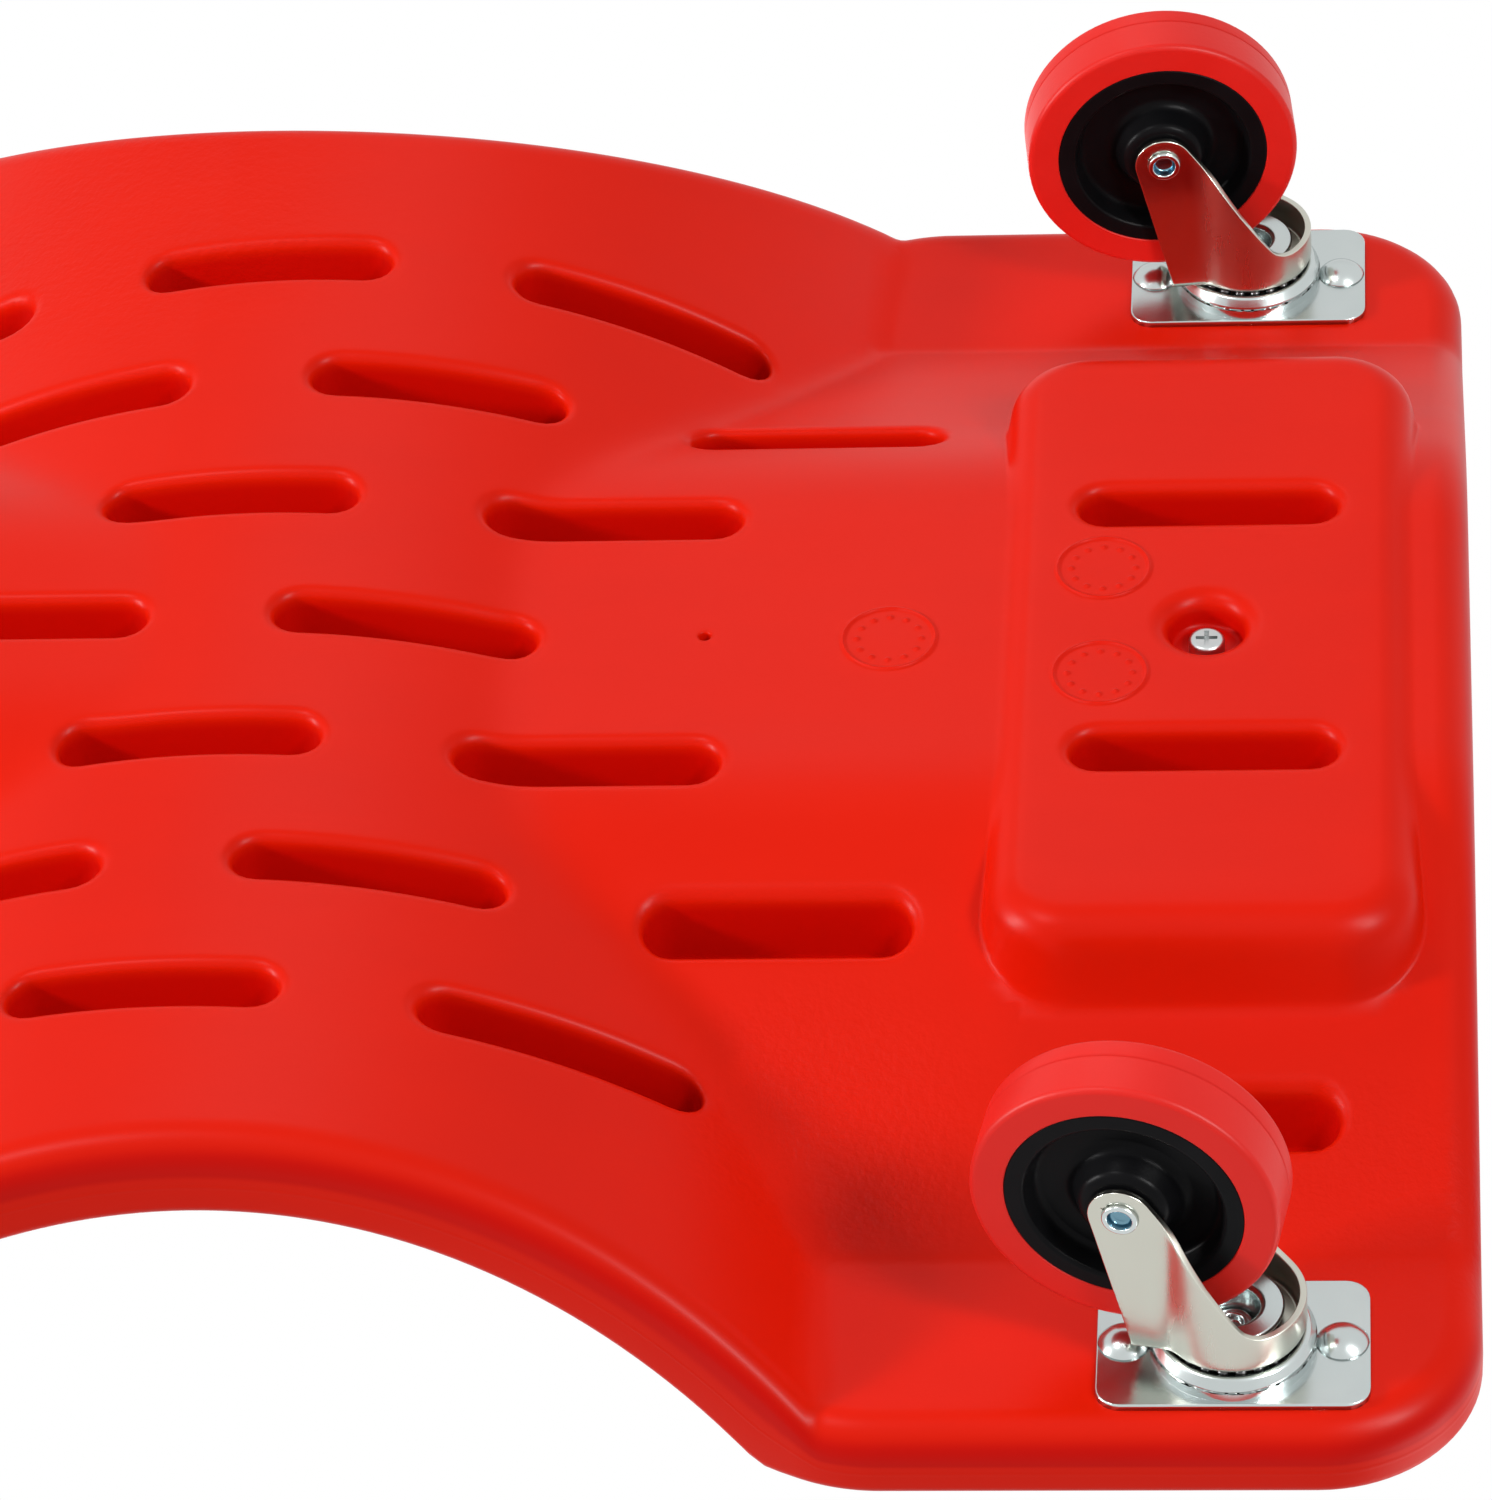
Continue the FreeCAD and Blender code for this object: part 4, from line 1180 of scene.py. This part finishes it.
def piping(obj, points):
    """The cord along a pad's seam, where level rays from outside meet the pad."""
    tree = BVHTree.FromPolygons((points * MM).tolist(), [p.vertices[:] for p in obj.data.polygons])
    seam = Plan(*SEAT_MID[:2], *SEAT_SIZE[:2], PAD_CORNER_R, 1.5)
    loop = []
    for (x, y), (nx, ny) in zip(seam.points, seam.normals):
        start = Vector((x + SEAM_RAY * nx, y + SEAM_RAY * ny, SEAM_Z)) * MM
        hit = tree.ray_cast(start, Vector((-nx, -ny, 0)))[0]
        loop.append(np.array(hit) / MM)
    outward = np.column_stack([seam.normals, np.zeros(len(loop))])
    cord = loop_tube(np.array(loop) + PIPING_PROUD * outward, outward, PIPING_R)
    return new_mesh("headrest_piping", *cord, VINYL)


def padded_headrest():
    """The stuffed headrest with a piped seam round its top panel."""
    obj, points = pad_form()
    points = sewn(points)
    move_points(obj.data, points)
    obj.data.shade_smooth()
    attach(obj, "root")
    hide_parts("headrest_cover", "headrest_foam")
    add_piece("headrest_piping", piping(obj, points), Matrix(), "root", "black_vinyl")


def plain_nodes():
    """Finishes for the solids of the frame that stay as they are."""
    kept = {"headrest_screw": ZINC_DULL, "headrest_tee_nut": ZINC_COOL, "headrest_board": plywood()}
    for name, obj in frame["nodes"].items():
        if not obj.hide_render:
            for slot in obj.material_slots:
                slot.material = kept.get(name, BRIGHT)


board()
casters()
bearing_meshes()
padded_headrest()
plain_nodes()


# Stage, lamps and camera
def stage_floor():
    """A white floor with the object's soft shadow painted in, seen only from above, so that the underside
    shows.
    """
    mesh = bpy.data.meshes.new("floor")
    corners = [(x * FLOOR_REACH, y * FLOOR_REACH, 0) for x, y in ((-1, -1), (1, -1), (1, 1), (-1, 1))]
    mesh.from_pydata(corners, [], [(0, 1, 2, 3)])
    finish = Finish("white_floor", Base_Color=(0, 0, 0, 1), Specular_IOR_Level=0.0, Emission_Strength=1.0)
    # Painted shadow: the glowing floor is dimmed by ambient occlusion near the object
    open_sky = finish.node("ShaderNodeAmbientOcclusion", {"samples": 8}, {"Distance": SHADE_REACH}, 1)
    finish.surface(Emission_Color=finish.blend(open_sky, FLOOR_SHADE, WHITE))
    clear = finish.node("ShaderNodeBsdfTransparent", {}, {})
    back = finish.node("ShaderNodeNewGeometry", {}, {}, "Backfacing")
    seen = finish.node("ShaderNodeMixShader", {}, {0: back, 1: finish.look, 2: clear})
    finish.feed(finish.output.inputs["Surface"], seen)
    mesh.materials.append(finish.material)
    floor = linked("floor", mesh)
    for ray in ("diffuse", "glossy", "transmission", "shadow"):
        setattr(floor, "visible_" + ray, False)


def soft_lamp(name, toward, distance, size, power, mirrored_in=True, shines=True):
    """A square lamp that shines at the middle of the board from a direction, or only glints in it."""
    lamp = bpy.data.lights.new(name, "AREA")
    lamp.shape = "SQUARE"
    lamp.size = size
    lamp.energy = power
    obj = linked(name, lamp)
    away = Vector(toward).normalized()
    obj.location = Vector(LAMP_AIM) + away * distance
    obj.rotation_mode = "QUATERNION"
    obj.rotation_quaternion = away.to_track_quat("Z", "Y")
    obj.visible_glossy = mirrored_in
    obj.visible_diffuse = shines


def white_surround():
    """A white surround for the eye and in gloss, dimmer behind the board, with softer light for the rest."""
    world = bpy.data.worlds.new("surround")
    scene.world = world
    world.use_nodes = True
    nodes = Nodes(world.node_tree)

    def ray(kind):
        return nodes.node("ShaderNodeLightPath", {}, {}, kind)

    def larger(first, second):
        return nodes.node("ShaderNodeMath", {"operation": "MAXIMUM"}, {0: first, 1: second})

    way = nodes.node("ShaderNodeTexCoord", {}, {}, "Generated")
    sockets = {"Value": nodes.node("ShaderNodeSeparateXYZ", {}, {0: way}, 1)}
    sockets |= {"From Min": BEHIND_Y[0], "From Max": BEHIND_Y[1], "To Min": BEHIND, "To Max": 1.0}
    behind = nodes.node("ShaderNodeMapRange", {}, sockets)
    seen = larger(ray("Is Camera Ray"), ray("Is Transmission Ray"))
    strength = larger(larger(seen, ray("Is Glossy Ray") * behind), AMBIENT)
    glow = nodes.node("ShaderNodeBackground", {}, {"Color": WHITE, "Strength": strength})
    nodes.close("ShaderNodeOutputWorld", glow)


def camera():
    """The photograph's view: from below the board, past its right side."""
    data = bpy.data.cameras.new("camera")
    data.lens, data.sensor_width = LENS, SENSOR
    place = Matrix(CAMERA_AXES).transposed().to_4x4()
    place.translation = Vector(CAMERA_AT)
    obj = linked("camera", data)
    obj.matrix_world = place
    scene.camera = obj


stage_floor()
white_surround()
soft_lamp("key_below", (-0.84, 0.3, -0.42), 1.8, size=0.2, power=20.0)
soft_lamp("side_below", (0.59, 0.46, -0.66), 1.8, size=0.3, power=9.2)
soft_lamp("back_below", (0.0, -0.75, -0.66), 1.8, size=0.6, power=6.2, mirrored_in=False)
soft_lamp("glint_below", (-0.3, 0.25, -0.92), 1.8, size=0.35, power=8.0, shines=False)
soft_lamp("key_glint", (-0.94, 0.24, -0.18), 1.9, size=0.25, power=18.0, shines=False)
soft_lamp("side_glint", (0.73, 0.48, -0.48), 1.9, size=0.25, power=16.0, shines=False)
soft_lamp("key_above", (-0.5, -0.6, 0.8), 1.8, size=0.9, power=15.0)
soft_lamp("fill_above", (0.7, 0.25, 0.75), 1.8, size=1.0, power=6.5)
camera()
bpy.context.scene.view_settings.view_transform = "Standard"
